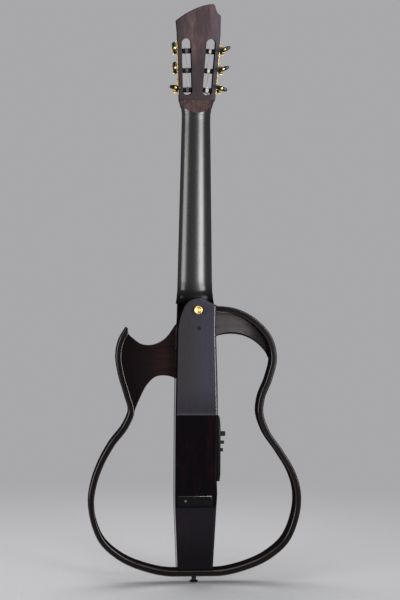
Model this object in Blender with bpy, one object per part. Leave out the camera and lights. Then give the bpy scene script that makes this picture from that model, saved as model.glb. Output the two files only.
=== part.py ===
"""Silent nylon-string guitar: a slim wooden core with two bent-wood outline frames, a slotted head with
worm-and-gear tuning machines, side controls and a sliding battery tray. Metres, +Z up the neck, strings
towards -Y, back towards +Y, treble side (with the cutaway horn) towards +X. Z = 0 is the underside of
the frames, where the instrument stands in a cradle."""
import math

import bmesh
import bpy
import numpy as np
from mathutils import Matrix, Vector

MM = 0.001

# Fits
SEAT_GAP = 0.3 * MM        # between two fixed pieces that touch
RUN_GAP = 0.3 * MM         # between a moving piece and what carries it

# Strings and fingerboard
SCALE_LENGTH = 650 * MM
NUT_Z = 844 * MM
NUT_WIDTH = 50 * MM
TWELFTH_WIDTH = 62 * MM
NUT_THICK = 5 * MM
BOARD_THICK = 6 * MM
FRET_COUNT = 19
FRET_HEIGHT = 1.1 * MM
FRET_WIDTH = 2.4 * MM
BODY_JOINT_FRET = 14
BOARD_END_PAST_FRET = 9 * MM
NUT_SPREAD = 40 * MM       # first to sixth string at the nut
SADDLE_SPREAD = 58 * MM
NUT_ACTION = 0.6 * MM      # string underside above the fret crowns
TWELFTH_ACTION = 3.6 * MM
STRING_DIAMETERS = [0.71 * MM, 0.82 * MM, 1.02 * MM, 0.74 * MM, 0.89 * MM, 1.09 * MM]

# Neck
FRONT_Y = -26 * MM         # plane of the core's front and the neck's front
NECK_DEPTH_NUT = 15.5 * MM
NECK_DEPTH_HEEL = 17.5 * MM
NECK_SIDE = 2 * MM         # straight side of the neck below the fingerboard
HEEL_FLARE = 2.6 * MM
TONGUE_WIDTH = 54 * MM
TONGUE_LENGTH = 62 * MM
TONGUE_DEPTH = 16 * MM

# Core block
BACK_Y = 30 * MM
TAIL_BACK_Y = 16 * MM
SLOPE_LOW_Y = 15 * MM      # back of the core where the long slope ends above the tray
RECESS_STEP = 1 * MM       # the tray's face sunk below the recess floor
RECESS_MARGIN = 3 * MM
SHOULDER_DROP = 44 * MM    # from the body joint down to where the core has its full width
ARCH_RISE = 11 * MM        # the back plate's arch above the body joint
ARCH_APEX_X = -3 * MM
CORE_TOP_HALF = 36.5 * MM
CORE_RIDGE_HALF = 38.5 * MM
CORE_TRAY_HALF = 38 * MM
TAIL_TOP_HALF = 37 * MM
TAIL_BOTTOM_HALF = 31.5 * MM
RIDGE_Z = 288 * MM
CORE_EDGE_ROUND = 2.2 * MM

# Bent frames
FRAME_THICK = 10.5 * MM
FRAME_FRONT_Y = -22 * MM
FRAME_DEPTH = 40 * MM
FRAME_EDGE = 1.8 * MM
LOWER_BOUT_HALF = 190.5 * MM
LOWER_BOUT_Z = 134 * MM
UPPER_BOUT_HALF = 145 * MM
UPPER_BOUT_Z = 384 * MM
WAIST_HALF = 122 * MM
WAIST_Z = 294 * MM
HORN_TIP_X = 121.5 * MM
HORN_RISE = 59 * MM        # the horn's tip above the upper bout's widest line
HORN_TIP_THICK = 3 * MM
HORN_TAPER = 10 * MM      # length over which the strip thins to the horn's tip
FRAME_FLAT_HALF = 40 * MM  # the straight run under the tail
FRAME_START_DROP = 3.5 * MM   # bass frame's outer edge below the body joint
TREBLE_STATIONS = 54       # sections along each bent strip
BASS_STATIONS = 60
WING_BACK_Y = -7 * MM
WING_THICK = 13 * MM
WING_EDGE = 1.6 * MM
CUTAWAY_SAG = 28 * MM
TREBLE_WING_LENGTH = 134 * MM   # from the body joint down to the wing's foot on the core
BASS_WING_LENGTH = 60 * MM

# Head
HEAD_TILT = math.radians(12)
HEAD_THICK = 20 * MM
HEAD_LENGTH = 173 * MM
HEAD_BASE_HALF = 32 * MM
HEAD_TAPER = 0.053         # growth of the half width for each unit of height
VENEER_THICK = 1.6 * MM
SLOT_WIDTH = 15.6 * MM
SLOT_RAIL = 7.6 * MM       # wood between a slot and the head's side
SLOT_LOW = 12 * MM
SLOT_HIGH = 112.5 * MM
ROLLER_LOW = 20.3 * MM
ROLLER_SPACING = 34.4 * MM

# Tuning machines
GEAR_TEETH = 14
GEAR_PITCH_RADIUS = 4.45 * MM
WORM_PITCH_RADIUS = 2.35 * MM
TOOTH_RISE = 0.5 * MM
TOOTH_DROP = 0.78 * MM
TOOTH_BACKLASH = 0.28 * MM
GEAR_WIDTH = 3.6 * MM
WORM_TURNS = 3.5
WORM_OFFSET = 7.7 * MM     # worm axis outside the head's side
SHAFT_RADIUS = 1.4 * MM
COLLAR_RADIUS = 2.2 * MM
PLATE_THICK = 1.2 * MM
PLATE_WIDTH = 13 * MM
PLATE_END = 12 * MM        # plate past the first and last roller
EAR_THICK = 1.5 * MM
EAR_HALF = 3 * MM          # half the height of an ear's free end
EAR_MARGIN = 1.6 * MM      # metal outside the shaft's bore
ROLLER_RADIUS = 4.7 * MM
ROLLER_NECK_RADIUS = 3.1 * MM
ROLLER_TIP_RADIUS = 2.4 * MM
ROLLER_TIP_LENGTH = 6 * MM
KNOB_LONG = 20.5 * MM
KNOB_SHORT = 7.2 * MM
KNOB_DEPTH = 11 * MM
KNOB_START = 18.5 * MM     # front of a knob's collar behind the head's mid plane
WINDING_TURNS = 2.6
WINDING_SPACE = 0.5 * MM   # clear space between neighbouring turns

# Bridge
BRIDGE_WIDTH = 70 * MM
BRIDGE_HEIGHT = 7 * MM
TIE_BLOCK_HEIGHT = 9 * MM
BRIDGE_NOSE = 11 * MM      # bridge ahead of the saddle
BRIDGE_TAIL = 25 * MM
TIE_BLOCK_LENGTH = 13 * MM
SADDLE_THICK = 2.8 * MM
SADDLE_WIDTH = 66 * MM
PICKUP_HEIGHT = 1.3 * MM
SADDLE_SLOT_DEPTH = 5 * MM
TIE_HOLE_RADIUS = 1.1 * MM

# Controls on the bass side of the core
PANEL_TOP_Z = 286 * MM
PANEL_LOW_Z = 168 * MM
PANEL_PROUD = 8 * MM
PANEL_FRONT_Y = -16 * MM
PANEL_BACK_Y = 12 * MM
CONTROL_Y = -2 * MM
POCKET_DEPTH = 24 * MM
POCKET_MARGIN = 5 * MM
VOLUME_Z = 252 * MM
TONE_Z = 236.5 * MM
BUTTON_Z = 223 * MM
VOLUME_RADIUS = 4.7 * MM
TONE_RADIUS = 3.3 * MM
BUTTON_RADIUS = 3.2 * MM
VOLUME_PROUD = 8 * MM
TONE_PROUD = 6 * MM
BUTTON_PROUD = 4.4 * MM
BUTTON_TRAVEL = 1.2 * MM
BUTTON_STEM = 11 * MM      # from the panel's face into the switch
KNOB_SHAFT = 15.5 * MM     # from the panel's face into a potentiometer
CAN_DEPTH = 10.5 * MM      # face of the potentiometers below the panel's face
CONTROL_SHAFT = 2.0 * MM
OUTPUT_JACK_Z = 203 * MM
PHONES_JACK_Z = 184 * MM
OUTPUT_BORE = 3.3 * MM
PHONES_BORE = 1.8 * MM
JACK_WALL = 1.6 * MM
JACK_LENGTH = 21 * MM
BOARD_PCB_THICK = 1.6 * MM

# Battery tray
TRAY_WIDTH = 61 * MM
TRAY_HEIGHT = 19.4 * MM
TRAY_DEPTH = 31 * MM
TRAY_FACE_Y = 12 * MM
TRAY_CENTRE_Z = 133.5 * MM
TRAY_WALL = 0.8 * MM
TRAY_FACE_THICK = 2 * MM
BAY_WALL = 1.0 * MM
BATTERY_SIZE = (48.5 * MM, 26.5 * MM, 17.5 * MM)

# Strap fittings
STRAP_BUTTON_X = -3 * MM
STRAP_BUTTON_DROP = 10.5 * MM     # below the line where the neck meets the core
STRAP_BUTTON_RADIUS = 7.5 * MM
STRAP_BUTTON_HEIGHT = 9 * MM
END_PIN_Y = -2 * MM
END_PIN_RADIUS = 7.5 * MM
END_PIN_DROP = 13 * MM
PIN_SHANK_RADIUS = 2.2 * MM
NECK_BOLT_DROP = 42.5 * MM
NECK_BOLT_RADIUS = 1.8 * MM
BOLT_HEAD_RADIUS = 3.2 * MM
BOLT_HEAD_SUNK = 3 * MM    # bottom of the bolt's head below the back plate
BOLT_REACH = 8 * MM        # bolt's length in the neck's tongue
BUTTON_SHANK = 12 * MM     # strap button's shank in the core
PIN_SHANK = 12 * MM        # end pin's shank in the core

# Places that follow from the sizes above


def fret_z(number):
    return NUT_Z - SCALE_LENGTH * (1 - 2 ** (-number / 12))


SADDLE_Z = NUT_Z - SCALE_LENGTH
JOINT_Z = fret_z(BODY_JOINT_FRET)
STRAP_BUTTON_Z = JOINT_Z - STRAP_BUTTON_DROP
NECK_BOLT_Z = JOINT_Z - NECK_BOLT_DROP
HORN_TIP_Z = UPPER_BOUT_Z + HORN_RISE
ARCH_TOP_Z = JOINT_Z + ARCH_RISE
BOARD_END_Z = fret_z(FRET_COUNT) - BOARD_END_PAST_FRET
BOARD_TOP_Y = FRONT_Y - SEAT_GAP - BOARD_THICK
CROWN_Y = BOARD_TOP_Y - FRET_HEIGHT
HEAD_BASE_Z = NUT_Z + NUT_THICK
FRAME_BACK_Y = FRAME_FRONT_Y + FRAME_DEPTH
TAIL_Z = FRAME_THICK + SEAT_GAP
TRAY_TOP_Z = TRAY_CENTRE_Z + TRAY_HEIGHT / 2
TRAY_LOW_Z = TRAY_CENTRE_Z - TRAY_HEIGHT / 2
CENTRE_DISTANCE = GEAR_PITCH_RADIUS + WORM_PITCH_RADIUS
WORM_LEAD = 2 * math.pi * GEAR_PITCH_RADIUS / GEAR_TEETH
WORM_HALF = WORM_LEAD * WORM_TURNS / 2
SIDE_ANGLE = math.atan(HEAD_TAPER)
SADDLE_ACTION = 2 * TWELFTH_ACTION - NUT_ACTION


# Scene and materials


def clear_scene():
    for item in list(bpy.data.objects):
        bpy.data.objects.remove(item, do_unlink=True)


def paint(name, color, roughness, metallic=0.0):
    material = bpy.data.materials.new(name)
    material.use_nodes = True
    shader = material.node_tree.nodes["Principled BSDF"]
    shader.inputs["Base Color"].default_value = (*color, 1.0)
    shader.inputs["Roughness"].default_value = roughness
    shader.inputs["Metallic"].default_value = metallic
    return material


def make_object(name, bm, material, parent=None, sharp=32.0):
    bmesh.ops.recalc_face_normals(bm, faces=bm.faces)
    mesh = bpy.data.meshes.new(name)
    bm.to_mesh(mesh)
    bm.free()
    if sharp is not None:
        mesh.shade_smooth()
        mesh.set_sharp_from_angle(angle=math.radians(sharp))
    obj = bpy.data.objects.new(name, mesh)
    bpy.context.scene.collection.objects.link(obj)
    if material is not None:
        mesh.materials.append(material)
    obj.parent = parent
    return obj


def make_empty(name, matrix, parent=None):
    empty = bpy.data.objects.new(name, None)
    bpy.context.scene.collection.objects.link(empty)
    empty.parent = parent
    empty.matrix_local = matrix
    return empty


def as_guide(obj):
    obj.hide_render = True
    obj.display_type = "WIRE"
    return obj


def combine(obj, other, operation):
    as_guide(other)
    modifier = obj.modifiers.new(other.name, "BOOLEAN")
    modifier.object = other
    modifier.operation = operation
    modifier.solver = "EXACT"


def cut(obj, *cutters):
    for cutter in cutters:
        combine(obj, cutter, "DIFFERENCE")


def fuse(obj, *others):
    for other in others:
        combine(obj, other, "UNION")


def round_edges(obj, width, segments=2, angle=40.0):
    bevel = obj.modifiers.new("rounded_edges", "BEVEL")
    bevel.width = width
    bevel.segments = segments
    bevel.limit_method = "ANGLE"
    bevel.angle_limit = math.radians(angle)


# Shapes


def prism(outline, low, high, axis="Y"):
    """An outline drawn in the two other axes, extruded from low to high along this one."""
    order = {"X": (2, 0, 1), "Y": (0, 2, 1), "Z": (0, 1, 2)}[axis]

    def place(*values):
        return tuple(values[k] for k in order)

    bm = bmesh.new()
    face = bm.faces.new([bm.verts.new(place(u, v, low)) for u, v in outline])
    top = bmesh.ops.extrude_face_region(bm, geom=[face])
    moved = [item for item in top["geom"] if isinstance(item, bmesh.types.BMVert)]
    bmesh.ops.translate(bm, verts=moved, vec=Vector(place(0, 0, high - low)))
    return bm


def block(low, high):
    bm = bmesh.new()
    size = Vector(high) - Vector(low)
    bmesh.ops.create_cube(bm, size=1.0)
    bmesh.ops.scale(bm, verts=bm.verts, vec=size)
    bmesh.ops.translate(bm, verts=bm.verts, vec=(Vector(high) + Vector(low)) / 2)
    return bm


AXES = {"X": Vector((1, 0, 0)), "Y": Vector((0, 1, 0)), "Z": Vector((0, 0, 1))}


def turned(profile, segments, axis, centre=(0, 0, 0)):
    """A profile of (place along the axis, radius), spun round the axis; its ends lie on the axis."""
    along = AXES[axis]
    side = AXES["Z"] if axis != "Z" else AXES["X"]
    start = Vector(centre)
    bm = bmesh.new()
    verts = [bm.verts.new(start + along * place + side * radius) for place, radius in profile]
    edges = [bm.edges.new(pair) for pair in zip(verts, verts[1:])]
    bmesh.ops.spin(bm, geom=verts + edges, cent=start, axis=along, angle=2 * math.pi, steps=segments,
                   use_merge=True)
    bmesh.ops.remove_doubles(bm, verts=bm.verts, dist=1e-6)
    return bm


def rod(radius, low, high, axis, centre, segments=16):
    return turned([(low, 0), (low, radius), (high, radius), (high, 0)], segments, axis, centre)


def loft(rings):
    """Closed solid through rings of equal length, with a flat cap at each end."""
    bm = bmesh.new()
    rows = [[bm.verts.new(point) for point in ring] for ring in rings]
    for row, following in zip(rows, rows[1:]):
        for i in range(len(row)):
            j = (i + 1) % len(row)
            bm.faces.new((row[i], row[j], following[j], following[i]))
    bm.faces.new(rows[0])
    bm.faces.new(list(reversed(rows[-1])))
    return bm


def bezier(start, first, second, end, steps):
    points = []
    for i in range(steps + 1):
        t = i / steps
        weights = ((1 - t) ** 3, 3 * t * (1 - t) ** 2, 3 * t * t * (1 - t), t ** 3)
        corners = (start, first, second, end)
        points.append(tuple(sum(w * c[k] for w, c in zip(weights, corners)) for k in (0, 1)))
    return points


def smooth_run(points, count):
    """Even points along a smooth curve through all but the first and last point, which only steer it."""
    knots = np.array(points)
    chords = np.linalg.norm(np.diff(knots, axis=0), axis=1)
    slopes = np.diff(knots, axis=0) / chords[:, None]
    fine = []
    for i in range(1, len(knots) - 2):
        before, span, after = chords[i - 1], chords[i], chords[i + 1]
        leave = (slopes[i - 1] * span + slopes[i] * before) / (span + before) * span
        arrive = (slopes[i] * after + slopes[i + 1] * span) / (after + span) * span
        for t in np.linspace(0, 1, 16, endpoint=False):
            fine.append(knots[i] * (2 * t ** 3 - 3 * t * t + 1) + leave * (t ** 3 - 2 * t * t + t)
                        + knots[i + 1] * (3 * t * t - 2 * t ** 3) + arrive * (t ** 3 - t * t))
    fine = np.array(fine + [knots[-2]])
    travel = np.concatenate([[0], np.cumsum(np.linalg.norm(np.diff(fine, axis=0), axis=1))])
    even = np.linspace(0, travel[-1], count)
    return [tuple(float(np.interp(s, travel, fine[:, k])) for k in (0, 1)) for s in even]


def run_normals(points):
    """Unit vectors to the left of the way the run goes, one for each point."""
    way = np.gradient(np.array(points), axis=0)
    way /= np.linalg.norm(way, axis=1)[:, None]
    return [(-float(dz), float(dx)) for dx, dz in way]


def arc(start, end, sag, count):
    """Points of a circular arc that bulges by the sag to the right of the way from start to end."""
    a, b = Vector(start), Vector(end)
    chord = (b - a).length
    radius = (chord * chord / 4 + sag * sag) / (2 * sag)
    way = (b - a) / chord
    right = Vector((way.y, -way.x))
    centre = (a + b) / 2 + right * (sag - radius)
    half = math.atan2(chord / 2, radius - sag)
    points = []
    for turn in np.linspace(-half, half, count):
        points.append(tuple(centre + right * radius * math.cos(turn) + way * radius * math.sin(turn)))
    return points


def mitred_normals(loop):
    """For each corner of a closed loop that runs clockwise, the inward move that insets both its sides
    by a unit."""
    moves = []
    for before, point, after in zip(loop[-1:] + loop[:-1], loop, loop[1:] + loop[:1]):
        arrive = (Vector(point) - Vector(before)).normalized()
        leave = (Vector(after) - Vector(point)).normalized()
        first = Vector((arrive.y, -arrive.x))
        middle = (first + Vector((leave.y, -leave.x))).normalized()
        moves.append(middle / max(middle.dot(first), 0.3))
    return moves


def rounded_slab(right, left, front, backs, radius):
    """A slab between two side lines that run down from its top, its rim rounded in front and behind.
    The back may lie at another depth at each pair of points."""
    loop = right + list(reversed(left))
    depths = backs + list(reversed(backs))
    nick = radius * (1 - math.sqrt(0.5))
    bm = bmesh.new()
    columns = []
    for (x, z), move, back in zip(loop, mitred_normals(loop), depths):
        rim = ((radius, front), (nick, front + nick), (0, front + radius),
               (0, back - radius), (nick, back - nick), (radius, back))
        columns.append([bm.verts.new((x + move.x * inset, y, z + move.y * inset)) for inset, y in rim])
    for column, following in zip(columns, columns[1:] + columns[:1]):
        for k in range(len(column) - 1):
            bm.faces.new((column[k], column[k + 1], following[k + 1], following[k]))
    opposite = list(reversed(columns))
    for i in range(len(right) - 1):
        for k in (0, -1):
            bm.faces.new((columns[i][k], columns[i + 1][k], opposite[i + 1][k], opposite[i][k]))
    return bm


# Core block


def half_width(z):
    """Half width of the core block at a height."""
    heights = [TAIL_Z, TRAY_LOW_Z - RECESS_MARGIN, TRAY_TOP_Z + RECESS_MARGIN, RIDGE_Z,
               JOINT_Z - SHOULDER_DROP]
    halves = [TAIL_BOTTOM_HALF, TAIL_TOP_HALF, CORE_TRAY_HALF, CORE_RIDGE_HALF, CORE_TOP_HALF]
    return float(np.interp(z, heights, halves))


def core_sides():
    """The two side lines from the arch's top down, with the depth of the back at each pair of points."""
    full = JOINT_Z - SHOULDER_DROP
    treble = bezier((ARCH_APEX_X, ARCH_TOP_Z), (ARCH_APEX_X + 21 * MM, ARCH_TOP_Z),
                    (CORE_TOP_HALF - 1 * MM, JOINT_Z - 16 * MM), (CORE_TOP_HALF, full), 8)
    bass = bezier((ARCH_APEX_X, ARCH_TOP_Z), (ARCH_APEX_X - 17 * MM, ARCH_TOP_Z),
                  (-CORE_TOP_HALF, JOINT_Z + 6 * MM), (-CORE_TOP_HALF, JOINT_Z - 1 * MM), 7)
    bass.append((-CORE_TOP_HALF, full))
    treble[0] = (treble[0][0] + 2 * MM, ARCH_TOP_Z)
    bass[0] = (bass[0][0] - 2 * MM, ARCH_TOP_Z)
    backs = [BACK_Y] * len(treble)
    for z, back in ((RIDGE_Z, BACK_Y), (TRAY_TOP_Z + RECESS_MARGIN, SLOPE_LOW_Y),
                    (TRAY_LOW_Z - RECESS_MARGIN, TAIL_BACK_Y), (TAIL_Z, TAIL_BACK_Y)):
        treble.append((half_width(z), z))
        bass.append((-half_width(z), z))
        backs.append(back)
    return treble, bass, backs


def shoulder_outline():
    """Seen from behind: the part of the core beside the neck's heel on the treble side, which runs from
    the heel's width out to the core's side, where the cutaway starts."""
    low = JOINT_Z - SHOULDER_DROP
    heel = heel_half() - 2 * MM
    inside = heel / 2
    return [(inside, JOINT_Z - SEAT_GAP), (heel, JOINT_Z - SEAT_GAP), (heel, JOINT_Z - 16 * MM),
            (heel + 1.2 * MM, JOINT_Z - 31 * MM), (half_width(low) - 0.2 * MM, low), (heel, low - 8 * MM),
            (inside, low - 8 * MM)]


def core_block(wood):
    treble, bass, backs = core_sides()
    slab = rounded_slab(treble, bass, FRONT_Y, backs, CORE_EDGE_ROUND)
    core = make_object("core_block", slab, wood, None, None)
    heel_back = FRONT_Y + NECK_DEPTH_HEEL
    fuse(core, make_object("guide_shoulder", prism(shoulder_outline(), FRONT_Y, heel_back), None))
    wide = CORE_RIDGE_HALF + 20 * MM
    recess = block((-wide, TRAY_FACE_Y + RECESS_STEP, TRAY_LOW_Z - RECESS_MARGIN / 2),
                   (wide, BACK_Y, TRAY_TOP_Z + RECESS_MARGIN / 2))
    tongue_half = TONGUE_WIDTH / 2 + SEAT_GAP
    neck_pocket = block((-tongue_half, FRONT_Y - 5 * MM, JOINT_Z - TONGUE_LENGTH - SEAT_GAP),
                        (tongue_half, FRONT_Y + TONGUE_DEPTH + SEAT_GAP, ARCH_TOP_Z + 5 * MM))
    heel_room = block((-wide, FRONT_Y - 5 * MM, JOINT_Z - SEAT_GAP),
                      (wide, heel_back + SEAT_GAP, ARCH_TOP_Z + 5 * MM))
    bay_gap = BAY_WALL + RUN_GAP + SEAT_GAP
    tray_half = TRAY_WIDTH / 2 + bay_gap
    bay_half = TRAY_HEIGHT / 2 + bay_gap
    tray_pocket = block((-tray_half, TRAY_FACE_Y - TRAY_DEPTH - bay_gap, TRAY_CENTRE_Z - bay_half),
                        (tray_half, BACK_Y, TRAY_CENTRE_Z + bay_half))
    low, high = pocket_box()
    bolt_room = NECK_BOLT_RADIUS + SEAT_GAP
    head_room = BOLT_HEAD_RADIUS + SEAT_GAP
    start = FRONT_Y + TONGUE_DEPTH - 1 * MM
    seat = BACK_Y - BOLT_HEAD_SUNK - SEAT_GAP
    clear = BACK_Y + 5 * MM
    bolt_hole = turned([(start, 0), (start, bolt_room), (seat, bolt_room), (seat, head_room),
                        (clear, head_room), (clear, 0)], 12, "Y", (STRAP_BUTTON_X, 0, NECK_BOLT_Z))
    shank_room = PIN_SHANK_RADIUS + SEAT_GAP
    button_hole = rod(shank_room, BACK_Y - BUTTON_SHANK - 2 * MM, clear, "Y",
                      (STRAP_BUTTON_X, 0, STRAP_BUTTON_Z), 12)
    pin_hole = rod(shank_room, TAIL_Z - 5 * MM, TAIL_Z + PIN_SHANK + 2 * MM, "Z", (0, END_PIN_Y, 0), 12)
    for name, bm in (("recess", recess), ("neck_pocket", neck_pocket), ("heel_room", heel_room),
                     ("tray_pocket", tray_pocket), ("side_pocket", block(low, high)),
                     ("bolt_hole", bolt_hole), ("button_hole", button_hole), ("pin_hole", pin_hole)):
        cut(core, make_object("cutter_" + name, bm, None))
    return core


def pocket_box():
    """The electronics pocket, open on the bass side."""
    low = (-CORE_RIDGE_HALF - 5 * MM, PANEL_FRONT_Y + 2 * MM, PANEL_LOW_Z + POCKET_MARGIN)
    high = (-CORE_RIDGE_HALF + POCKET_DEPTH, PANEL_BACK_Y - 4 * MM, PANEL_TOP_Z - POCKET_MARGIN)
    return low, high


# Bent frames and the wings that tie them to the core


def lower_run(side):
    """Outer edge of the lower bout, from below the waist to the straight run under the tail."""
    x = LOWER_BOUT_HALF
    z = LOWER_BOUT_Z
    places = [(x - 15.5 * MM, z + 67 * MM), (x - 3.2 * MM, z + 31 * MM), (x, z), (x - 6 * MM, z - 38 * MM),
              (x - 22.5 * MM, z - 75 * MM), (x - 55 * MM, z - 104 * MM), (x - 103 * MM, 9 * MM),
              (FRAME_FLAT_HALF, 0)]
    return [(side * px, pz) for px, pz in places]


def treble_run():
    """From the horn's tip over the treble bout and round to the flat run under the tail."""
    upper = [(HORN_TIP_X - 7 * MM, HORN_TIP_Z + 12 * MM), (HORN_TIP_X, HORN_TIP_Z),
             (UPPER_BOUT_HALF - 10 * MM, HORN_TIP_Z - 23 * MM),
             (UPPER_BOUT_HALF - 3 * MM, UPPER_BOUT_Z + 8 * MM),
             (UPPER_BOUT_HALF - 8 * MM, UPPER_BOUT_Z - 24 * MM),
             (WAIST_HALF + 3 * MM, WAIST_Z + 24 * MM), (WAIST_HALF - 1.5 * MM, WAIST_Z - 1 * MM),
             (WAIST_HALF + 6 * MM, WAIST_Z - 23 * MM), (WAIST_HALF + 31 * MM, WAIST_Z - 56 * MM)]
    steer = [(FRAME_FLAT_HALF - 45 * MM, 4 * MM)]
    return smooth_run(upper + lower_run(1) + steer, TREBLE_STATIONS)


def bass_run():
    """From the core's shoulder over the bass bout and round to the flat run under the tail."""
    start_x = -(CORE_TOP_HALF + SEAT_GAP)
    top = JOINT_Z - FRAME_START_DROP
    upper = [(start_x + 30 * MM, top), (start_x, top), (start_x - 33 * MM, top - 4 * MM),
             (start_x - 70 * MM, top - 27 * MM), (-UPPER_BOUT_HALF + 12 * MM, UPPER_BOUT_Z + 38 * MM),
             (-UPPER_BOUT_HALF, UPPER_BOUT_Z - 2 * MM), (-UPPER_BOUT_HALF + 6 * MM, UPPER_BOUT_Z - 35 * MM),
             (-WAIST_HALF - 3 * MM, WAIST_Z + 20 * MM), (-WAIST_HALF, WAIST_Z - 1 * MM),
             (-WAIST_HALF - 13 * MM, WAIST_Z - 37 * MM), (-WAIST_HALF - 37 * MM, WAIST_Z - 72 * MM)]
    steer = [(-FRAME_FLAT_HALF + 45 * MM, 4 * MM)]
    return smooth_run(upper + lower_run(-1) + steer, BASS_STATIONS)


def frame_sections(side):
    """Outer point, inward direction and thickness of a bent strip at each station."""
    run = treble_run() if side > 0 else bass_run()
    run.append((side * SEAT_GAP / 2, 0.0))
    inward = [(-side * nx, -side * nz) for nx, nz in run_normals(run)]
    inward[-1] = inward[-2] = (0.0, 1.0)
    if side < 0:
        inward[0] = (0.0, -1.0)
    travel = 0.0
    sections = []
    for i, point in enumerate(run):
        travel += math.dist(run[i - 1], point) if i else 0.0
        grown = HORN_TIP_THICK + (FRAME_THICK - HORN_TIP_THICK) * travel / HORN_TAPER
        thick = min(FRAME_THICK, grown) if side > 0 else FRAME_THICK
        sections.append((point, inward[i], thick))
    return sections


def inner_edge(side, clear, low, high):
    """The strip's inner edge, kept clear by a gap, between two heights."""
    points = [(x + nx * (thick + clear), z + nz * (thick + clear))
              for (x, z), (nx, nz), thick in frame_sections(side)]
    return [point for point in points if low < point[1] < high]


def frame_solid(side):
    """A bent strip of rectangular section with its four long edges taken off."""
    low, high = FRAME_FRONT_Y, FRAME_BACK_Y
    rings = []
    for (x, z), (nx, nz), thick in frame_sections(side):
        nick = min(FRAME_EDGE, thick * 0.3)
        corners = ((nick, low), (thick - nick, low), (thick, low + nick), (thick, high - nick),
                   (thick - nick, high), (nick, high), (0, high - nick), (0, low + nick))
        rings.append([(x + nx * across, y, z + nz * across) for across, y in corners])
    return loft(rings)


def bent_frames(wood):
    pin = rod(PIN_SHANK_RADIUS + SEAT_GAP, -5 * MM, FRAME_THICK + 5 * MM, "Z", (0, END_PIN_Y, 0), 12)
    pin_cutter = make_object("cutter_frame_pin", pin, None)
    for side, name in ((1, "treble_frame"), (-1, "bass_frame")):
        cut(make_object(name, frame_solid(side), wood), pin_cutter)


def wing_prism(outline):
    return prism(outline, WING_BACK_Y - WING_THICK, WING_BACK_Y)


def moved_points(start, offsets):
    return [(start[0] + dx * MM, start[1] + dz * MM) for dx, dz in offsets]


def wings(wood):
    """Each wing lies between the core's side and a frame's inner edge; the treble wing's upper edge is the
    cutaway, one arc from the core's shoulder to the horn."""
    edge = inner_edge(1, SEAT_GAP, WAIST_Z - 20 * MM, HORN_TIP_Z - 6 * MM)
    high = JOINT_Z - SHOULDER_DROP
    cutaway = arc((half_width(high) + SEAT_GAP, high), edge[0], CUTAWAY_SAG, 13)
    low = JOINT_Z - TREBLE_WING_LENGTH
    foot = (half_width(low) + SEAT_GAP, low)
    end = (edge[-1][0] - 0.6 * MM, edge[-1][1])
    lower = smooth_run([(end[0] + 8 * MM, end[1] - 25 * MM), end]
                       + moved_points(foot, ((61, -35), (47, -12), (33, 1), (17, 6)))
                       + [foot, (foot[0] - 7 * MM, foot[1] - 9 * MM)], 12)
    treble = make_object("treble_wing", wing_prism(cutaway[:-1] + edge + lower), wood, sharp=None)
    edge = inner_edge(-1, SEAT_GAP, UPPER_BOUT_Z + 2 * MM, JOINT_Z)
    low = JOINT_Z - BASS_WING_LENGTH
    foot = (-(half_width(low) + SEAT_GAP), low)
    end = (edge[-1][0] + 0.8 * MM, edge[-1][1])
    under = smooth_run([(end[0], end[1] - 20 * MM), end]
                       + moved_points(foot, ((-79, -10), (-53, 5), (-25, 8)))
                       + [foot, (foot[0] + 17 * MM, foot[1] - 12 * MM)], 12)
    bass = make_object("bass_wing", wing_prism(edge + under), wood, sharp=None)
    for wing in (treble, bass):
        round_edges(wing, WING_EDGE, 1, 50.0)


# Neck, fingerboard and nut


def board_width(z):
    return NUT_WIDTH + (TWELFTH_WIDTH - NUT_WIDTH) * (NUT_Z - z) / (NUT_Z - fret_z(12))


def heel_half():
    """Half width of the neck's heel where it meets the core."""
    return board_width(JOINT_Z) / 2 + HEEL_FLARE


def neck_ring(z, width, depth, squareness, count=15):
    """A D-shaped section: flat in front with short straight sides, a flattened half ellipse behind."""
    ring = [(width / 2, FRONT_Y, z)]
    for i in range(count):
        angle = math.pi * i / (count - 1)
        across = math.copysign(abs(math.cos(angle)) ** (2 / squareness), math.cos(angle))
        back = abs(math.sin(angle)) ** (2 / squareness)
        ring.append((width / 2 * across, FRONT_Y + NECK_SIDE + (depth - NECK_SIDE) * back, z))
    ring.append((-width / 2, FRONT_Y, z))
    return ring


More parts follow.
